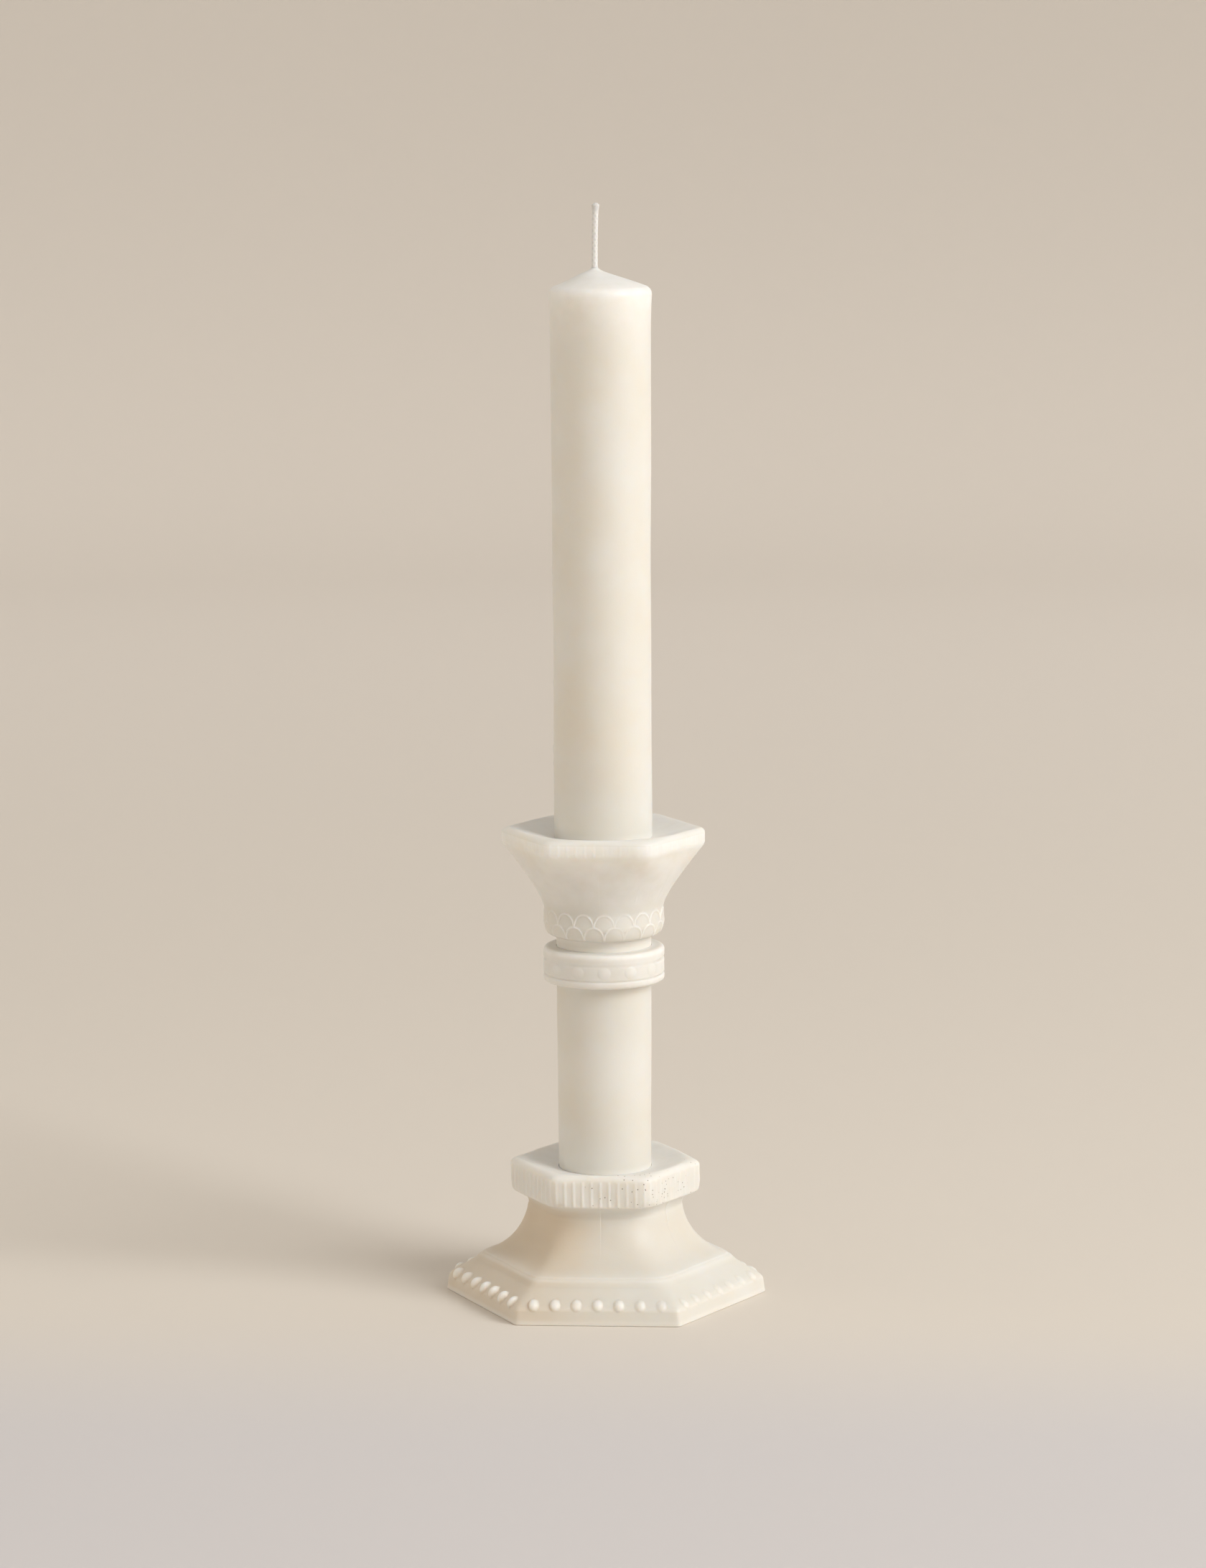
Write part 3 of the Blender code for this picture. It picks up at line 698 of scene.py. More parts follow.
def make_cup(settings, material):
    """Six-sided and fluted at the rim, round at the waist, with scales round the bowl."""
    edge = 1.15 * MM
    sharp = CUP_SIDE_SHARPNESS
    waist_sharp = 12.0
    corner = CUP_CORNER - settings.ridge_rise
    band_bottom = 103.4 * MM
    flare_bow = (13.5 * MM, 92.1 * MM)
    waist = (13.38 * MM, 88.9 * MM)
    bowl_widest = (13.47 * MM, 86.2 * MM)
    bowl_foot = (12.5 * MM, 83.3 * MM)
    seat = CANDLE_RADIUS + WELD
    rows = []
    flat_steps, edge_steps = 6, 9
    for i in range(flat_steps):
        rows.append(Row(seat + (1.0 + 0.3 * i) * MM,
                        CUP_SEAT + (CUP_TOP - CUP_SEAT) * i / flat_steps, sharp, 1.0))
    for i in range(edge_steps):
        turned = math.pi / 2 * i / edge_steps
        rows.append(Row(seat + (4.0 + 0.3 * i) * MM, CUP_TOP - edge * (1 - math.cos(turned)),
                        sharp, 1.0))
    soft_top = (corner, band_bottom + 0.9 * MM)
    soft_end = (corner - 0.8 * MM, band_bottom - 0.8 * MM)
    band = stretch((corner, CUP_TOP - edge), soft_top, 11)
    band += bend(soft_top, (corner, band_bottom + 0.1 * MM), soft_end, 6)
    rows += [Row(radius, height, sharp, 1.0) for radius, height in band]
    for radius, height in bend(soft_end, flare_bow, waist, 27):
        up = (height - waist[1]) / (soft_end[1] - waist[1])
        rows.append(Row(radius, height, waist_sharp + (sharp - waist_sharp) * up ** 4, up ** 2))
    neck = stem_radius(CUP_BOTTOM)
    bowl = bend(waist, (13.36 * MM, 87.6 * MM), bowl_widest, 18)
    bowl += bend(bowl_widest, (13.3 * MM, 84.0 * MM), bowl_foot, 20)
    bowl += bend(bowl_foot, (11.8 * MM, CUP_BOTTOM), (neck + WELD, CUP_BOTTOM), 6)
    rows += [Row(*point) for point in bowl]
    rows += [Row(neck + WELD, CUP_BOTTOM), Row(neck + WELD, CUP_BOTTOM + 0.3 * MM),
             Row(neck + WELD, STEM_TOP + GAP),
             Row(WICK_RADIUS + GAP, STEM_TOP + GAP), Row(WICK_RADIUS + GAP, CANDLE_BOTTOM - GAP),
             Row(seat + GAP, CANDLE_BOTTOM - GAP), Row(seat, CUP_SEAT - 1.0 * MM),
             Row(seat, CUP_SEAT - 0.3 * MM)]
    mesh, angle, row = turn("cup_piece", rows, 864)
    radius, height, sharpness, squareness = columns(rows)
    keep = corner_values(angle, CUP_CORNERS)
    outline = 1.0 + (worn_hexagon(angle, sharpness[row], keep) - 1.0) * squareness[row]
    reach = radius[row] * outline
    level = height[row]
    off = side_turn(angle)
    side_reach = corner * worn_hexagon(angle, sharp, keep)
    top_reach = worn_top(angle, side_reach, 19.2 * MM, CUP_TOP_CORNERS, edge)
    on_flat = row < flat_steps
    reach = np.where(on_flat, seat + (top_reach - seat) * row / flat_steps, reach)
    on_edge = (row >= flat_steps) & (row < flat_steps + edge_steps)
    turned = np.clip((row - flat_steps) / edge_steps, 0.0, 1.0) * math.pi / 2
    reach = np.where(on_edge, top_reach + (side_reach - top_reach) * np.sin(turned), reach)

    across = side_repeats(reach * np.sin(off), settings.ridge_pitch, settings.ridges)
    back = fade(np.sin(angle), -0.1, 0.4)
    ridge_top = CUP_TOP - edge * (0.75 - 0.7 * back)
    ends = fade(level, band_bottom - 0.1 * MM, band_bottom + 0.35 * MM)
    ends *= 1.0 - fade(level, ridge_top - 0.3 * MM, ridge_top + 0.1 * MM)
    uneven = 1.0 + ripple(angle, level, ((3, 1.0, 0.25, 2.4), (19, 1.0, 0.2, 1.0)))
    fluted = (row >= flat_steps) & (level > band_bottom - 0.2 * MM)
    ridge = bump(across, 0.5 * MM) * ends * uneven * fluted
    left = bump(angle_from(angle, math.radians(-112.0)), math.radians(45.0))
    ridge *= np.clip(0.2 + 0.45 * left + back, 0.0, 1.0)
    rim, fill = scale_relief(settings, angle, level)
    bowl_only = (row > flat_steps + edge_steps) & (reach > 12.3 * MM) & (level < 90.0 * MM)
    clear = ripple(angle, level, ((4, 1.0, 0.35, 2.9), (9, 0.02, 0.25, 0.5)))
    rim *= bowl_only * np.clip(0.8 + clear, 0.25, 1.2)
    fill *= bowl_only
    nib = bump(angle_from(angle, FRONT + math.radians(29.0)) * 14.6 * MM, 0.35 * MM)
    nib *= bump(level - 92.9 * MM, 0.35 * MM)
    wave = ripple(angle, level, ((4, 0.03, 0.05 * MM, 1.3), (9, 0.012, 0.03 * MM, 0.3)))
    wave *= fade(reach, 12.0 * MM, 13.0 * MM)
    change = settings.ridge_rise * ridge / np.cos(off) + settings.scale_rise * (rim + fill)
    set_round(mesh, angle, reach + change + 0.3 * MM * nib + wave, level)
    # Frost on the ridges, scale rims and nib; the lighter downward flare and sunk top are painted
    # light
    flared = fade(level, 89.0 * MM, 93.0 * MM) * (row > flat_steps + edge_steps)
    on_top = row <= flat_steps
    paint(mesh, "frost_and_light",
          0.7 * flared + 0.6 * on_top + 0.3 * ridge + 0.75 * rim + 0.5 * nib)
    # The thin flare glows right through; its top is dense round the candle
    room = np.where(on_top, 0.35, 1.7) * (reach - seat)
    return finish_piece(mesh, "cup", material, room)


def make_candle(material):
    """A slim taper that swells to its shoulder, with a low cone drawn up round the wick."""
    shoulder = 228.5 * MM
    edge = 1.9 * MM
    grip = WICK_RADIUS + WELD
    shoulder_ring = (CANDLE_TOP_RADIUS - edge, shoulder - edge)
    meniscus = CANDLE_TOP + 0.3 * MM
    cone_top = (2.4 * MM, CANDLE_TOP - 0.75 * MM)
    swell_start = (11.17 * MM, 214.0 * MM)
    straight_top = (CANDLE_RADIUS, 175.0 * MM)
    rounding = arc(shoulder_ring, edge, 72.0, 2.0, 9)
    rows = bend((grip, meniscus), (grip + 0.3 * MM, CANDLE_TOP - 0.2 * MM), cone_top, 9)
    rows += stretch(cone_top, rounding[0], 12)
    rows += rounding
    rows += bend((CANDLE_TOP_RADIUS, shoulder - edge - 0.2 * MM), (11.2 * MM, 222.0 * MM),
                 swell_start, 12)
    rows += stretch(swell_start, straight_top, 42)
    rows += stretch(straight_top, (CANDLE_RADIUS, CUP_SEAT), 76)
    rows += [(CANDLE_RADIUS, CUP_SEAT - 0.1 * MM), (CANDLE_RADIUS, CUP_SEAT - 0.4 * MM),
             (CANDLE_RADIUS, CUP_SEAT - 2.0 * MM), (CANDLE_TAIL_RADIUS, CUP_SEAT - 2.4 * MM),
             (CANDLE_TAIL_RADIUS, CANDLE_BOTTOM)]
    rows += stretch((grip, CANDLE_BOTTOM), (grip, meniscus), 70)
    rows = [Row(*point) for point in rows]
    mesh, angle, row = turn("candle_piece", rows, 288)
    radius, height, _, _ = columns(rows)
    reach, level = radius[row], height[row]
    skin = (reach > CANDLE_RADIUS - 0.4 * MM) & (level > CUP_SEAT + 1.0 * MM)
    wave = ripple(angle, level, ((2, 0.09, 0.05 * MM, 0.4), (3, 0.05, 0.03 * MM, 2.0),
                                 (5, 0.033, 0.02 * MM, 4.0)))
    seam = angle_from(angle, math.radians(178.0)) * CANDLE_RADIUS
    flash = 0.04 * bump(seam, 0.5 * MM)
    for nib_height, length, size in ((165.3, 1.2, 0.30), (162.0, 0.7, 0.16), (125.0, 1.4, 0.22),
                                     (121.5, 0.8, 0.18), (140.0, 0.8, 0.12)):
        flash = flash + size * bump(seam, 0.5 * MM) * bump(level - nib_height * MM, length * MM)
    keep = fade(level, CUP_SEAT + 1.0 * MM, CUP_SEAT + 5.0 * MM)
    reach = reach + skin * keep * (wave + flash * MM)
    off_axis = 1.0 - fade(reach, 1.5 * MM, CANDLE_TOP_RADIUS - edge)
    off_axis = np.where(reach < 1.5 * MM, 1.0, off_axis)
    set_round(mesh, angle, reach, level, wick_shift(np.minimum(level, CANDLE_TOP)) * off_axis)
    # Painted light: the top of the candle is lighter, as if lit through the thin wax
    paint(mesh, "frost_and_light", 0.75 * fade(level, 212.0 * MM, 229.0 * MM))
    room = np.minimum(level - CUP_SEAT, 0.6 * MM + 2.0 * (reach - WICK_RADIUS))
    return finish_piece(mesh, "candle", material, room)


def make_plug(material):
    """The last pour: it sank a little as it cooled and kept slow rings."""
    rows = stretch((0.0, PLUG_TOP), (PLUG_RADIUS, PLUG_TOP), 3)
    rows += stretch((PLUG_RADIUS, PLUG_TOP), (PLUG_RADIUS, PLUG_BOTTOM + 0.3 * MM), 3)
    rows += bend((PLUG_RADIUS, PLUG_BOTTOM + 0.3 * MM), (PLUG_RADIUS, PLUG_BOTTOM),
                 (PLUG_RADIUS - 0.4 * MM, PLUG_BOTTOM), 4)
    rows += stretch((PLUG_RADIUS - 0.4 * MM, PLUG_BOTTOM), (0.0, PLUG_BOTTOM), 40)
    rows += [(0.0, PLUG_BOTTOM)]
    rows = [Row(*point) for point in rows]
    mesh, angle, row = turn("base_plug_piece", rows, 96, closed=False)
    radius, height, _, _ = columns(rows)
    reach, level = radius[row], height[row]
    under = level < PLUG_BOTTOM + 0.1 * MM
    sink = 0.5 * MM * (1.0 - (reach / PLUG_RADIUS) ** 2)
    rings = 0.06 * MM * np.sin(reach / (0.9 * MM)) * fade(reach, 0.0, 3.0 * MM)
    uneven = ripple(angle, reach, ((2, 0.02, 0.08 * MM, 0.3), (5, 0.011, 0.04 * MM, 1.3)))
    uneven *= fade(reach, 0.0, 3.0 * MM) * (1.0 - fade(reach, 9.0 * MM, PLUG_RADIUS))
    set_round(mesh, angle, reach, level + under * (sink + rings + np.abs(uneven)) * 0.9)
    paint(mesh, "frost_and_light", 0.5 * fade(reach, 8.0 * MM, PLUG_RADIUS))
    return finish_piece(mesh, "base_plug", material, 1.0 * MM + 0.0 * level)


def make_wick(settings, material):
    """A braided cotton cord, held by the wax up to the cone, with a waxed knob at its tip."""
    knob = 0.8 * MM
    free = CANDLE_TOP - 1.0 * MM
    tip = WICK_TOP - knob
    rows = [(0.0, WICK_BOTTOM)]
    rows += stretch((WICK_RADIUS, WICK_BOTTOM), (WICK_RADIUS, free), 760)
    rows += stretch((WICK_RADIUS, free), (WICK_RADIUS, tip), 110)
    rows += arc((0.0, tip), knob, 0.0, 90.0, 8)[1:-1] + [(0.0, WICK_TOP)]
    rows = [Row(*point) for point in rows]
    mesh, angle, row = turn("wick_piece", rows, 40, closed=False)
    radius, height, _, _ = columns(rows)
    reach, level = radius[row], height[row]
    rise = math.tau * level / settings.lay
    right = np.abs(np.cos(settings.strands * angle / 2 + rise / 2 * settings.strands))
    left = np.abs(np.cos(settings.strands * angle / 2 - rise / 2 * settings.strands))
    braid = np.maximum(right, left) ** 1.5
    coat = fade(level, tip - 1.6 * MM, tip - 0.3 * MM)
    swell = (WICK_RADIUS + (knob - WICK_RADIUS) * coat) / WICK_RADIUS
    side = radius[row] >= WICK_RADIUS * 0.999
    plaited = (0.88 + 0.12 * braid) * (1.0 - coat) + coat
    reach = reach * np.where(side, plaited * swell, 1.0)
    set_round(mesh, angle, reach, level, wick_shift(level))
    paint(mesh, "strand", braid * (1.0 - coat))
    return finish_piece(mesh, "wick", material)


# ---------------------------------------------------------------- materials

def add_node(tree, kind, inputs=None, **settings):
    """Adds a node with its settings. An input is a number, a colour or a socket to link."""
    node = tree.nodes.new(kind)
    for name, value in settings.items():
        setattr(node, name, value)
    for name, value in (inputs or {}).items():
        if isinstance(value, bpy.types.NodeSocket):
            tree.links.new(value, node.inputs[name])
        else:
            node.inputs[name].default_value = value
    return node


def new_material(name):
    material = bpy.data.materials.new(name)
    material.use_nodes = True
    tree = material.node_tree
    tree.nodes.clear()
    return material, tree


def cast_wax(name, wax, offset, pitted=False):
    """Stearin-hardened paraffin, poured in a silicone mould: satin, cloudy and translucent."""
    material, tree = new_material(name)
    place = add_node(tree, "ShaderNodeTexCoord").outputs["Object"]
    moved = add_node(tree, "ShaderNodeMapping", {"Vector": place, "Location": offset})
    spot = moved.outputs["Vector"]
    # Clouds about 16 mm across, as wax cools unevenly in the mould
    cloud = add_node(tree, "ShaderNodeTexNoise",
                     {"Vector": spot, "Scale": 1.0 / (16 * MM), "Detail": 3.0, "Roughness": 0.55})
    drift = add_node(tree, "ShaderNodeMapRange",
                     {"Value": cloud.outputs["Fac"], "From Min": 0.35, "From Max": 0.7})
    body = add_node(tree, "ShaderNodeMix",
                    {0: drift.outputs["Result"], 6: (*wax.ivory, 1.0), 7: (*wax.amber, 1.0)},
                    data_type="RGBA")
    # Painted shade: darker, warmer wax on the foot's side away from the key light and in its
    # hollow neck
    painted_shade = add_node(tree, "ShaderNodeAttribute", attribute_name="painted_shade")
    body = add_node(tree, "ShaderNodeMix",
                    {0: painted_shade.outputs["Fac"], 6: body.outputs[2], 7: (*wax.painted_shade_colour, 1.0)},
                    data_type="RGBA")
    # Frost on thin and raised wax, and painted light on the flare, the sunk tops, the lip under
    # the collar and the candle's top, broken up over about 3 mm
    frost_and_light = add_node(tree, "ShaderNodeAttribute", attribute_name="frost_and_light")
    grain = add_node(tree, "ShaderNodeTexNoise",
                     {"Vector": spot, "Scale": 1.0 / (3 * MM), "Detail": 4.0})
    patch = add_node(tree, "ShaderNodeMapRange",
                     {"Value": grain.outputs["Fac"], "From Min": 0.3, "From Max": 0.62,
                      "To Min": 0.55, "To Max": 1.0})
    share = add_node(tree, "ShaderNodeMath",
                     {0: frost_and_light.outputs["Fac"], 1: patch.outputs["Result"]}, operation="MULTIPLY")
    colour = add_node(tree, "ShaderNodeMix",
                      {0: share.outputs[0], 6: body.outputs[2], 7: (*wax.frost_and_light, 1.0)},
                      data_type="RGBA").outputs[2]
    # Painted light: lighter wax near the joints, where light is lost between the castings
    joint_light = add_node(tree, "ShaderNodeAttribute", attribute_name="joint_light")
    colour = add_node(tree, "ShaderNodeMix",
                      {0: joint_light.outputs["Fac"], 6: colour, 7: (*wax.joint_light_colour, 1.0)},
                      data_type="RGBA").outputs[2]
    # Skin: shallow waves of 5 mm, and a mould grain of 0.5 mm
    wave = add_node(tree, "ShaderNodeTexNoise",
                    {"Vector": spot, "Scale": 1.0 / (5 * MM), "Detail": 2.0})
    skin = add_node(tree, "ShaderNodeTexNoise",
                    {"Vector": spot, "Scale": 1.0 / (0.5 * MM), "Detail": 3.0})
    waves = add_node(tree, "ShaderNodeBump",
                     {"Height": wave.outputs["Fac"], "Strength": 0.35, "Distance": 0.12 * MM})
    skin_bump = add_node(tree, "ShaderNodeBump",
                         {"Height": skin.outputs["Fac"], "Strength": 0.35,
                          "Distance": 0.03 * MM, "Normal": waves.outputs["Normal"]})
    normal = skin_bump.outputs["Normal"]
    if pitted:
        # Air pinholes 0.2 to 0.3 mm wide, about 1 mm apart where the mould trapped air; their dark
        # colour is painted shade in the holes
        cell = add_node(tree, "ShaderNodeTexVoronoi",
                        {"Vector": spot, "Scale": 1.0 / (0.95 * MM), "Randomness": 1.0})
        few = add_node(tree, "ShaderNodeTexWhiteNoise", {"Vector": cell.outputs["Position"]})
        pits = add_node(tree, "ShaderNodeAttribute", attribute_name="pits")
        chosen = add_node(tree, "ShaderNodeMath",
                          {0: few.outputs["Value"], 1: pits.outputs["Fac"]},
                          operation="LESS_THAN")
        hole = add_node(tree, "ShaderNodeMapRange",
                        {"Value": cell.outputs["Distance"], "From Min": 0.10, "From Max": 0.17,
                         "To Min": 1.0, "To Max": 0.0})
        pit = add_node(tree, "ShaderNodeMath",
                       {0: hole.outputs["Result"], 1: chosen.outputs[0]}, operation="MULTIPLY")
        colour = add_node(tree, "ShaderNodeMix",
                          {0: pit.outputs[0], 6: colour, 7: (*linear("8E8272"), 1.0)},
                          data_type="RGBA").outputs[2]
        normal = add_node(tree, "ShaderNodeBump",
                          {"Height": pit.outputs[0], "Strength": 0.8, "Distance": 0.15 * MM,
                           "Normal": normal}, invert=True).outputs["Normal"]
    glow = add_node(tree, "ShaderNodeAttribute", attribute_name="glow")
    depth = add_node(tree, "ShaderNodeMath", {0: glow.outputs["Fac"], 1: GLOW_DEPTH},
                     operation="MULTIPLY")
    satin = add_node(tree, "ShaderNodeMapRange",
                     {"Value": grain.outputs["Fac"], "To Min": wax.roughness - 0.05,
                      "To Max": wax.roughness + 0.08})
    shader = add_node(tree, "ShaderNodeBsdfPrincipled",
                      {"Base Color": colour, "Roughness": satin.outputs["Result"],
                       "Normal": normal, "IOR": 1.44, "Subsurface Weight": 1.0,
                       "Subsurface Radius": (1.0, 0.85, 0.7), "Subsurface Scale": depth.outputs[0],
                       "Subsurface Anisotropy": 0.3})
    add_node(tree, "ShaderNodeOutputMaterial", {"Surface": shader.outputs["BSDF"]})
    return material


def waxed_cotton():
    """Bleached cotton, braided and primed in wax: white, matt, with a little wax shine."""
    material, tree = new_material("braided_cotton_primed")
    place = add_node(tree, "ShaderNodeTexCoord").outputs["Object"]
    strand = add_node(tree, "ShaderNodeAttribute", attribute_name="strand")
    # Fibres about 0.1 mm, drawn as coarse as they show
    fibre = add_node(tree, "ShaderNodeTexNoise",
                     {"Vector": place, "Scale": 1.0 / (0.12 * MM), "Detail": 2.0})
    # Painted shade: the grooves between the strands are darker than their crests
    colour = add_node(tree, "ShaderNodeMix",
                      {0: strand.outputs["Fac"], 6: (*linear("D6D4D0"), 1.0),
                       7: (*linear("E4E2DE"), 1.0)}, data_type="RGBA")
    relief = add_node(tree, "ShaderNodeBump",
                      {"Height": fibre.outputs["Fac"], "Strength": 0.4, "Distance": 0.04 * MM})
    shader = add_node(tree, "ShaderNodeBsdfPrincipled",
                      {"Base Color": colour.outputs[2], "Roughness": 0.6, "IOR": 1.46,
                       "Normal": relief.outputs["Normal"], "Subsurface Weight": 0.5,
                       "Subsurface Radius": (1.0, 0.8, 0.6), "Subsurface Scale": 0.4 * MM,
                       "Sheen Weight": 0.15})
    add_node(tree, "ShaderNodeOutputMaterial", {"Surface": shader.outputs["BSDF"]})
    return material


def pressed_tinplate():
    """Thin steel, hot tinned and pressed: bright, with faint rolling lines."""
    material, tree = new_material("pressed_tinplate")
    place = add_node(tree, "ShaderNodeTexCoord").outputs["Object"]
    squeezed = add_node(tree, "ShaderNodeMapping", {"Vector": place, "Scale": (1.0, 30.0, 1.0)})
    lines = add_node(tree, "ShaderNodeTexNoise",
                     {"Vector": squeezed.outputs["Vector"], "Scale": 1.0 / (6 * MM),
                      "Detail": 3.0})
    tint = add_node(tree, "ShaderNodeMix",
                    {0: lines.outputs["Fac"], 6: (*linear("C9C9C6"), 1.0),
                     7: (*linear("DEDEDB"), 1.0)}, data_type="RGBA")
    satin = add_node(tree, "ShaderNodeMapRange",
                     {"Value": lines.outputs["Fac"], "To Min": 0.22, "To Max": 0.38})
    shader = add_node(tree, "ShaderNodeBsdfPrincipled",
                      {"Base Color": tint.outputs[2], "Metallic": 1.0,
                       "Roughness": satin.outputs["Result"]})
    add_node(tree, "ShaderNodeOutputMaterial", {"Surface": shader.outputs["BSDF"]})
    return material


def studio_paper(studio):
    """Seamless backdrop paper, matt: painted shade darkens it in front and on the wall, painted
    light far behind.
    """
    material, tree = new_material("seamless_paper")
    place = add_node(tree, "ShaderNodeTexCoord").outputs["Object"]
    split = add_node(tree, "ShaderNodeSeparateXYZ", {"Vector": place})
    front = add_node(tree, "ShaderNodeMapRange",
                     {"Value": split.outputs["Y"], "From Min": -0.01, "From Max": -0.13},
                     interpolation_type="SMOOTHSTEP")
    colour = add_node(tree, "ShaderNodeMix",
                      {0: front.outputs["Result"], 6: (*studio.paper, 1.0),
                       7: (*studio.near_paper_shade, 1.0)}, data_type="RGBA")
    reach = add_node(tree, "ShaderNodeVectorMath", {0: place}, operation="LENGTH")
    distance = add_node(tree, "ShaderNodeMapRange",
                        {"Value": reach.outputs["Value"], "From Min": 0.3, "From Max": 1.4},
                        interpolation_type="SMOOTHSTEP")
    colour = add_node(tree, "ShaderNodeMix",
                      {0: distance.outputs["Result"], 6: colour.outputs[2],
                       7: (*studio.far_paper_light, 1.0)}, data_type="RGBA")
    wall = add_node(tree, "ShaderNodeMapRange",
                    {"Value": reach.outputs["Value"], "From Min": 1.7, "From Max": 2.4},
                    interpolation_type="SMOOTHSTEP")
    colour = add_node(tree, "ShaderNodeMix",
                      {0: wall.outputs["Result"], 6: colour.outputs[2],
                       7: (*studio.wall_paper_shade, 1.0)}, data_type="RGBA")
    shader = add_node(tree, "ShaderNodeBsdfPrincipled",
                      {"Base Color": colour.outputs[2], "Roughness": 0.85,
                       "Specular IOR Level": 0.2})
    add_node(tree, "ShaderNodeOutputMaterial", {"Surface": shader.outputs["BSDF"]})
    return material


# ---------------------------------------------------------------- operators

class CastFoot(bpy.types.Operator):
    """Cast the six-sided foot with its pearl border"""
    bl_idname = "unity_candle.cast_foot"
    bl_label = "Foot"

    def execute(self, context):
        settings = context.scene.unity_candle
        make_foot(settings.foot, cast_wax("ivory_wax_foot", settings.wax, (0.02, 0.01, 0.0)))
        return {"FINISHED"}


class CastCollar(bpy.types.Operator):
    """Cast the fluted collar on the foot"""
    bl_idname = "unity_candle.cast_collar"
    bl_label = "Foot collar"

    def execute(self, context):
        settings = context.scene.unity_candle
        make_collar(settings.collar,
                    cast_wax("ivory_wax_collar", settings.wax, (0.05, 0.0, 0.03), pitted=True))
        return {"FINISHED"}


class CastColumn(bpy.types.Operator):
    """Cast the stem and the ring round it"""
    bl_idname = "unity_candle.cast_column"
    bl_label = "Stem and ring"

    def execute(self, context):
        settings = context.scene.unity_candle
        make_stem(cast_wax("ivory_wax_stem", settings.wax, (0.0, 0.07, 0.0)))
        make_ring(settings.ring, cast_wax("ivory_wax_ring", settings.wax, (0.01, 0.03, 0.09)))
        return {"FINISHED"}


class CastCup(bpy.types.Operator):
    """Cast the flared cup that holds the candle"""
    bl_idname = "unity_candle.cast_cup"
    bl_label = "Cup"

    def execute(self, context):
        settings = context.scene.unity_candle
        make_cup(settings.cup, cast_wax("ivory_wax_cup", settings.wax, (0.08, 0.02, 0.04)))
        return {"FINISHED"}


class PourCandle(bpy.types.Operator):
    """Pour the straight candle and the plug under the foot"""
    bl_idname = "unity_candle.pour_candle"
    bl_label = "Candle and plug"

    def execute(self, context):
        settings = context.scene.unity_candle
        make_candle(cast_wax("ivory_wax_candle", settings.wax, (0.0, 0.0, 0.12)))
        make_plug(cast_wax("ivory_wax_plug", settings.wax, (0.03, 0.09, 0.02)))
        return {"FINISHED"}


class ThreadWick(bpy.types.Operator):
    """Braid the wick and tin the sustainer that holds it"""
    bl_idname = "unity_candle.thread_wick"
    bl_label = "Wick and sustainer"

    def execute(self, context):
        make_wick(context.scene.unity_candle.wick, waxed_cotton())
        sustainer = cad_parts["wick_sustainer"]
        sustainer.data.materials.clear()
        sustainer.data.materials.append(pressed_tinplate())
        return {"FINISHED"}


def soft_light(name, place, aim, width, height, power, colour):
    """A flat softbox at place that faces aim."""
    lamp = bpy.data.lights.new(name, "AREA")
    lamp.shape = "RECTANGLE"
    lamp.size = width
    lamp.size_y = height
    lamp.energy = power
    lamp.color = colour
    light = bpy.data.objects.new(name, lamp)
    light.location = place
    light.rotation_euler = (Vector(aim) - Vector(place)).to_track_quat("-Z", "Y").to_euler()
    light.visible_camera = False
    bpy.context.scene.collection.objects.link(light)
    return light


def round_place(bearing, distance, height):
    """A point round the candle: the bearing is in degrees from the front towards +X."""
    turned = math.radians(bearing - 90.0)
    return Vector((distance * math.cos(turned), distance * math.sin(turned), height))


def make_cyclorama(studio):
    """One round sheet: flat floor, then a slow curve up to the wall, all round."""
    floor, curve, wall = 1.5, 1.1, 1.6
    rows = [(0.0, 0.0), (0.3, 0.0), (0.8, 0.0)] + [(floor, 0.0)]
    rows += arc((floor, curve), curve, -90.0, 0.0, 24)[1:]
    rows += [(floor + curve, curve + wall)]
    shape = bmesh.new()
    line = [shape.verts.new((radius, 0.0, height)) for radius, height in rows]
    edges = [shape.edges.new(pair) for pair in zip(line, line[1:])]
    bmesh.ops.spin(shape, geom=line + edges, cent=(0, 0, 0), axis=(0, 0, 1), angle=math.tau,
                   steps=96, use_merge=True)
    bmesh.ops.remove_doubles(shape, verts=shape.verts, dist=0.1 * MM)
    bmesh.ops.recalc_face_normals(shape, faces=shape.faces)
    mesh = bpy.data.meshes.new("cyclorama")
    shape.to_mesh(mesh)
    shape.free()
    mesh.shade_smooth()
    mesh.materials.append(studio_paper(studio))
    sheet = bpy.data.objects.new("cyclorama", mesh)
    bpy.context.scene.collection.objects.link(sheet)


def make_camera():
    """A long lens a little above the candle, 3.5 degrees to the right of the front."""
    bearing, distance, height = 3.5, 1.0566, 0.279
    pitch, roll = 8.72, 0.33
    lens = bpy.data.cameras.new("camera")
    lens.sensor_width = 36.0
    lens.lens = 109.2
    lens.clip_start = 0.05
    lens.clip_end = 20.0
    camera = bpy.data.objects.new("camera", lens)
    camera.location = round_place(bearing, distance, height)
    look = Matrix.Rotation(math.radians(bearing), 4, "Z")
    look @= Matrix.Rotation(math.radians(90.0 - pitch), 4, "X")
    look @= Matrix.Rotation(math.radians(-roll), 4, "Z")
    camera.rotation_euler = look.to_euler()
    bpy.context.scene.collection.objects.link(camera)
    bpy.context.scene.camera = camera


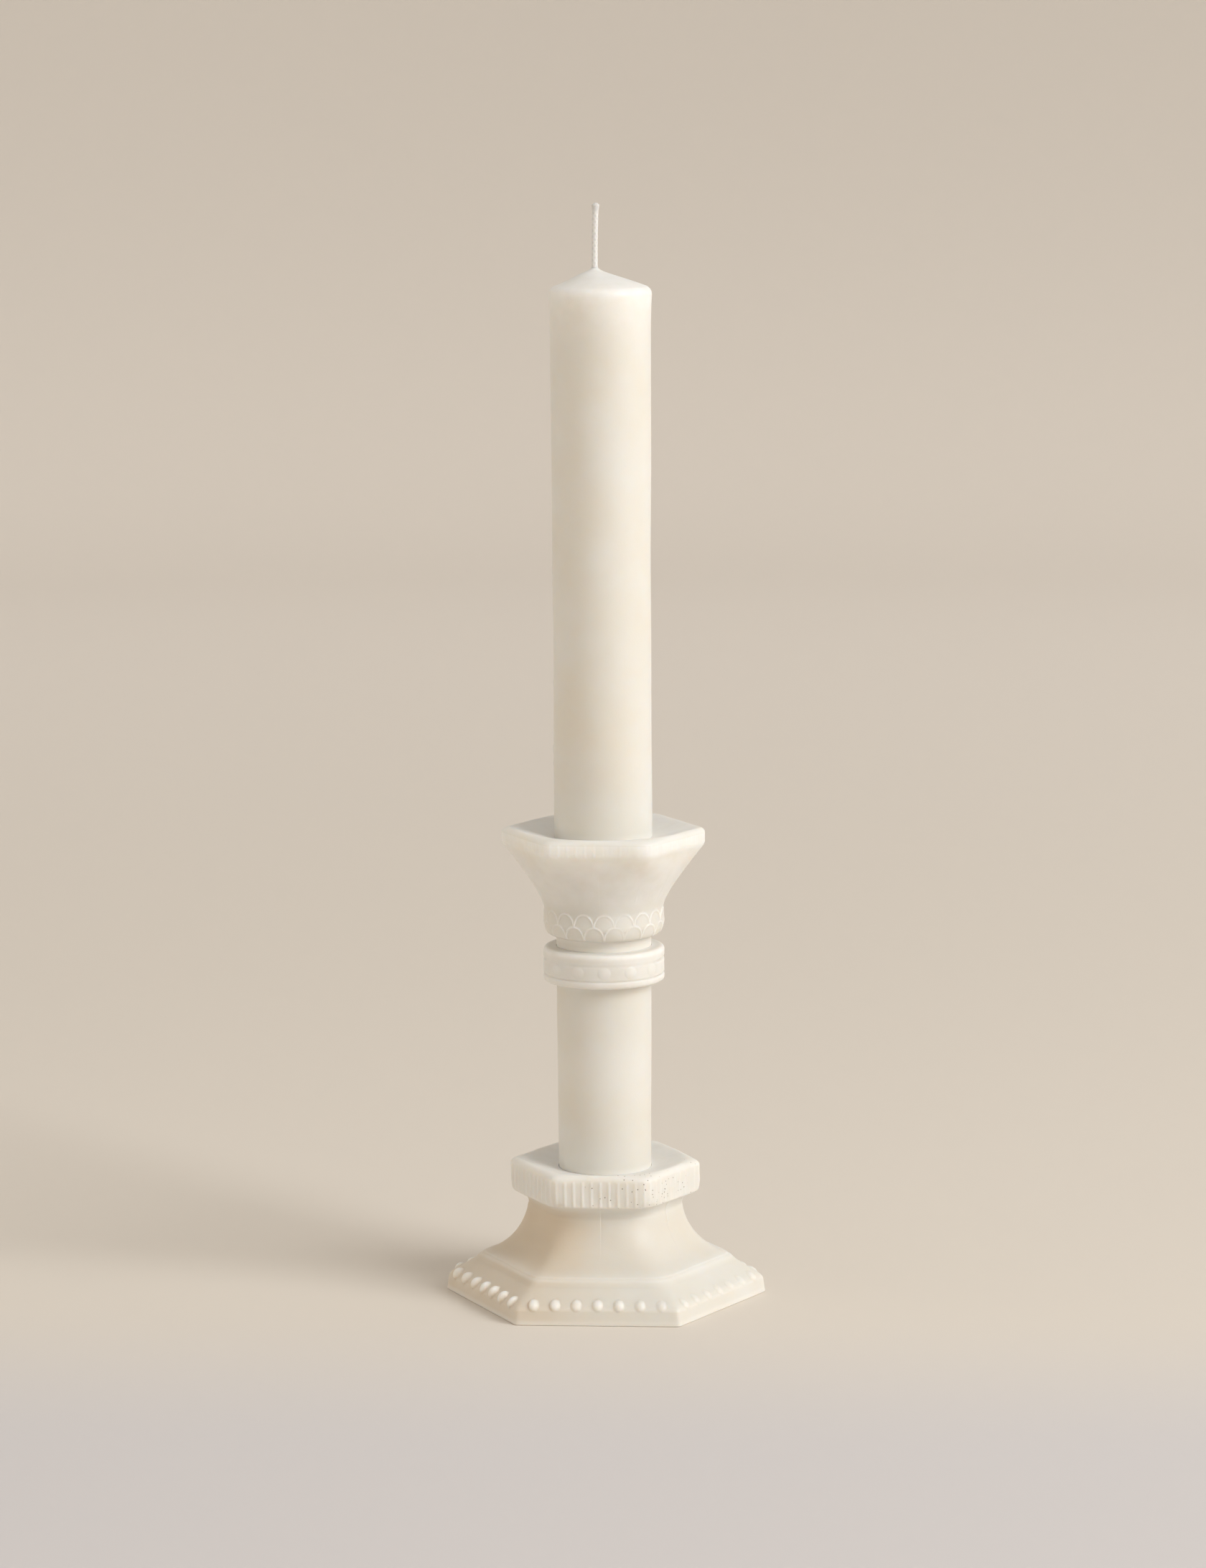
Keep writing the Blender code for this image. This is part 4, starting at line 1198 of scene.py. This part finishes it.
class SetStudio(bpy.types.Operator):
    """Set up the paper, the softboxes, the room light and the camera"""
    bl_idname = "unity_candle.set_studio"
    bl_label = "Studio"

    def execute(self, context):
        studio = context.scene.unity_candle.studio
        make_cyclorama(studio)
        middle = (0.0, 0.0, 0.12)
        soft_light("key_softbox", round_place(62.0, 2.0, 1.35), middle, 1.25, 1.25,
                   studio.key_power, linear("F8FBFF"))
        soft_light("fill_panel", round_place(-75.0, 1.7, 0.3), middle, 1.8, 0.56,
                   studio.fill_power, linear("FFFBF4"))
        world = bpy.data.worlds.new("room")
        world.use_nodes = True
        shade = world.node_tree.nodes["Background"]
        shade.inputs["Color"].default_value = (*linear("F8FBFF"), 1.0)
        shade.inputs["Strength"].default_value = studio.air
        context.scene.world = world
        context.scene.view_settings.view_transform = "Standard"
        make_camera()
        return {"FINISHED"}


class CandlePanel(bpy.types.Panel):
    """Lists the pieces of the candle in the order in which they are made"""
    bl_idname = "VIEW3D_PT_unity_candle"
    bl_label = "Unity Candle"
    bl_space_type = "VIEW_3D"
    bl_region_type = "UI"
    bl_category = "Unity Candle"

    def draw(self, context):
        for operator in OPERATORS:
            self.layout.operator(operator.bl_idname)


SETTINGS = (WaxSettings, FootSettings, CollarSettings, RingSettings, CupSettings, WickSettings,
            StudioSettings, CandleSettings)
OPERATORS = (CastFoot, CastCollar, CastColumn, CastCup, PourCandle, ThreadWick, SetStudio)


def register():
    for item in (*SETTINGS, *OPERATORS, CandlePanel):
        bpy.utils.register_class(item)
    bpy.types.Scene.unity_candle = PointerProperty(type=CandleSettings)


def unregister():
    del bpy.types.Scene.unity_candle
    for item in (CandlePanel, *reversed(OPERATORS), *reversed(SETTINGS)):
        bpy.utils.unregister_class(item)


def main():
    register()
    bpy.ops.unity_candle.cast_foot()
    bpy.ops.unity_candle.cast_collar()
    bpy.ops.unity_candle.cast_column()
    bpy.ops.unity_candle.cast_cup()
    bpy.ops.unity_candle.pour_candle()
    bpy.ops.unity_candle.thread_wick()
    bpy.ops.unity_candle.set_studio()


if __name__ == "__main__":
    main()
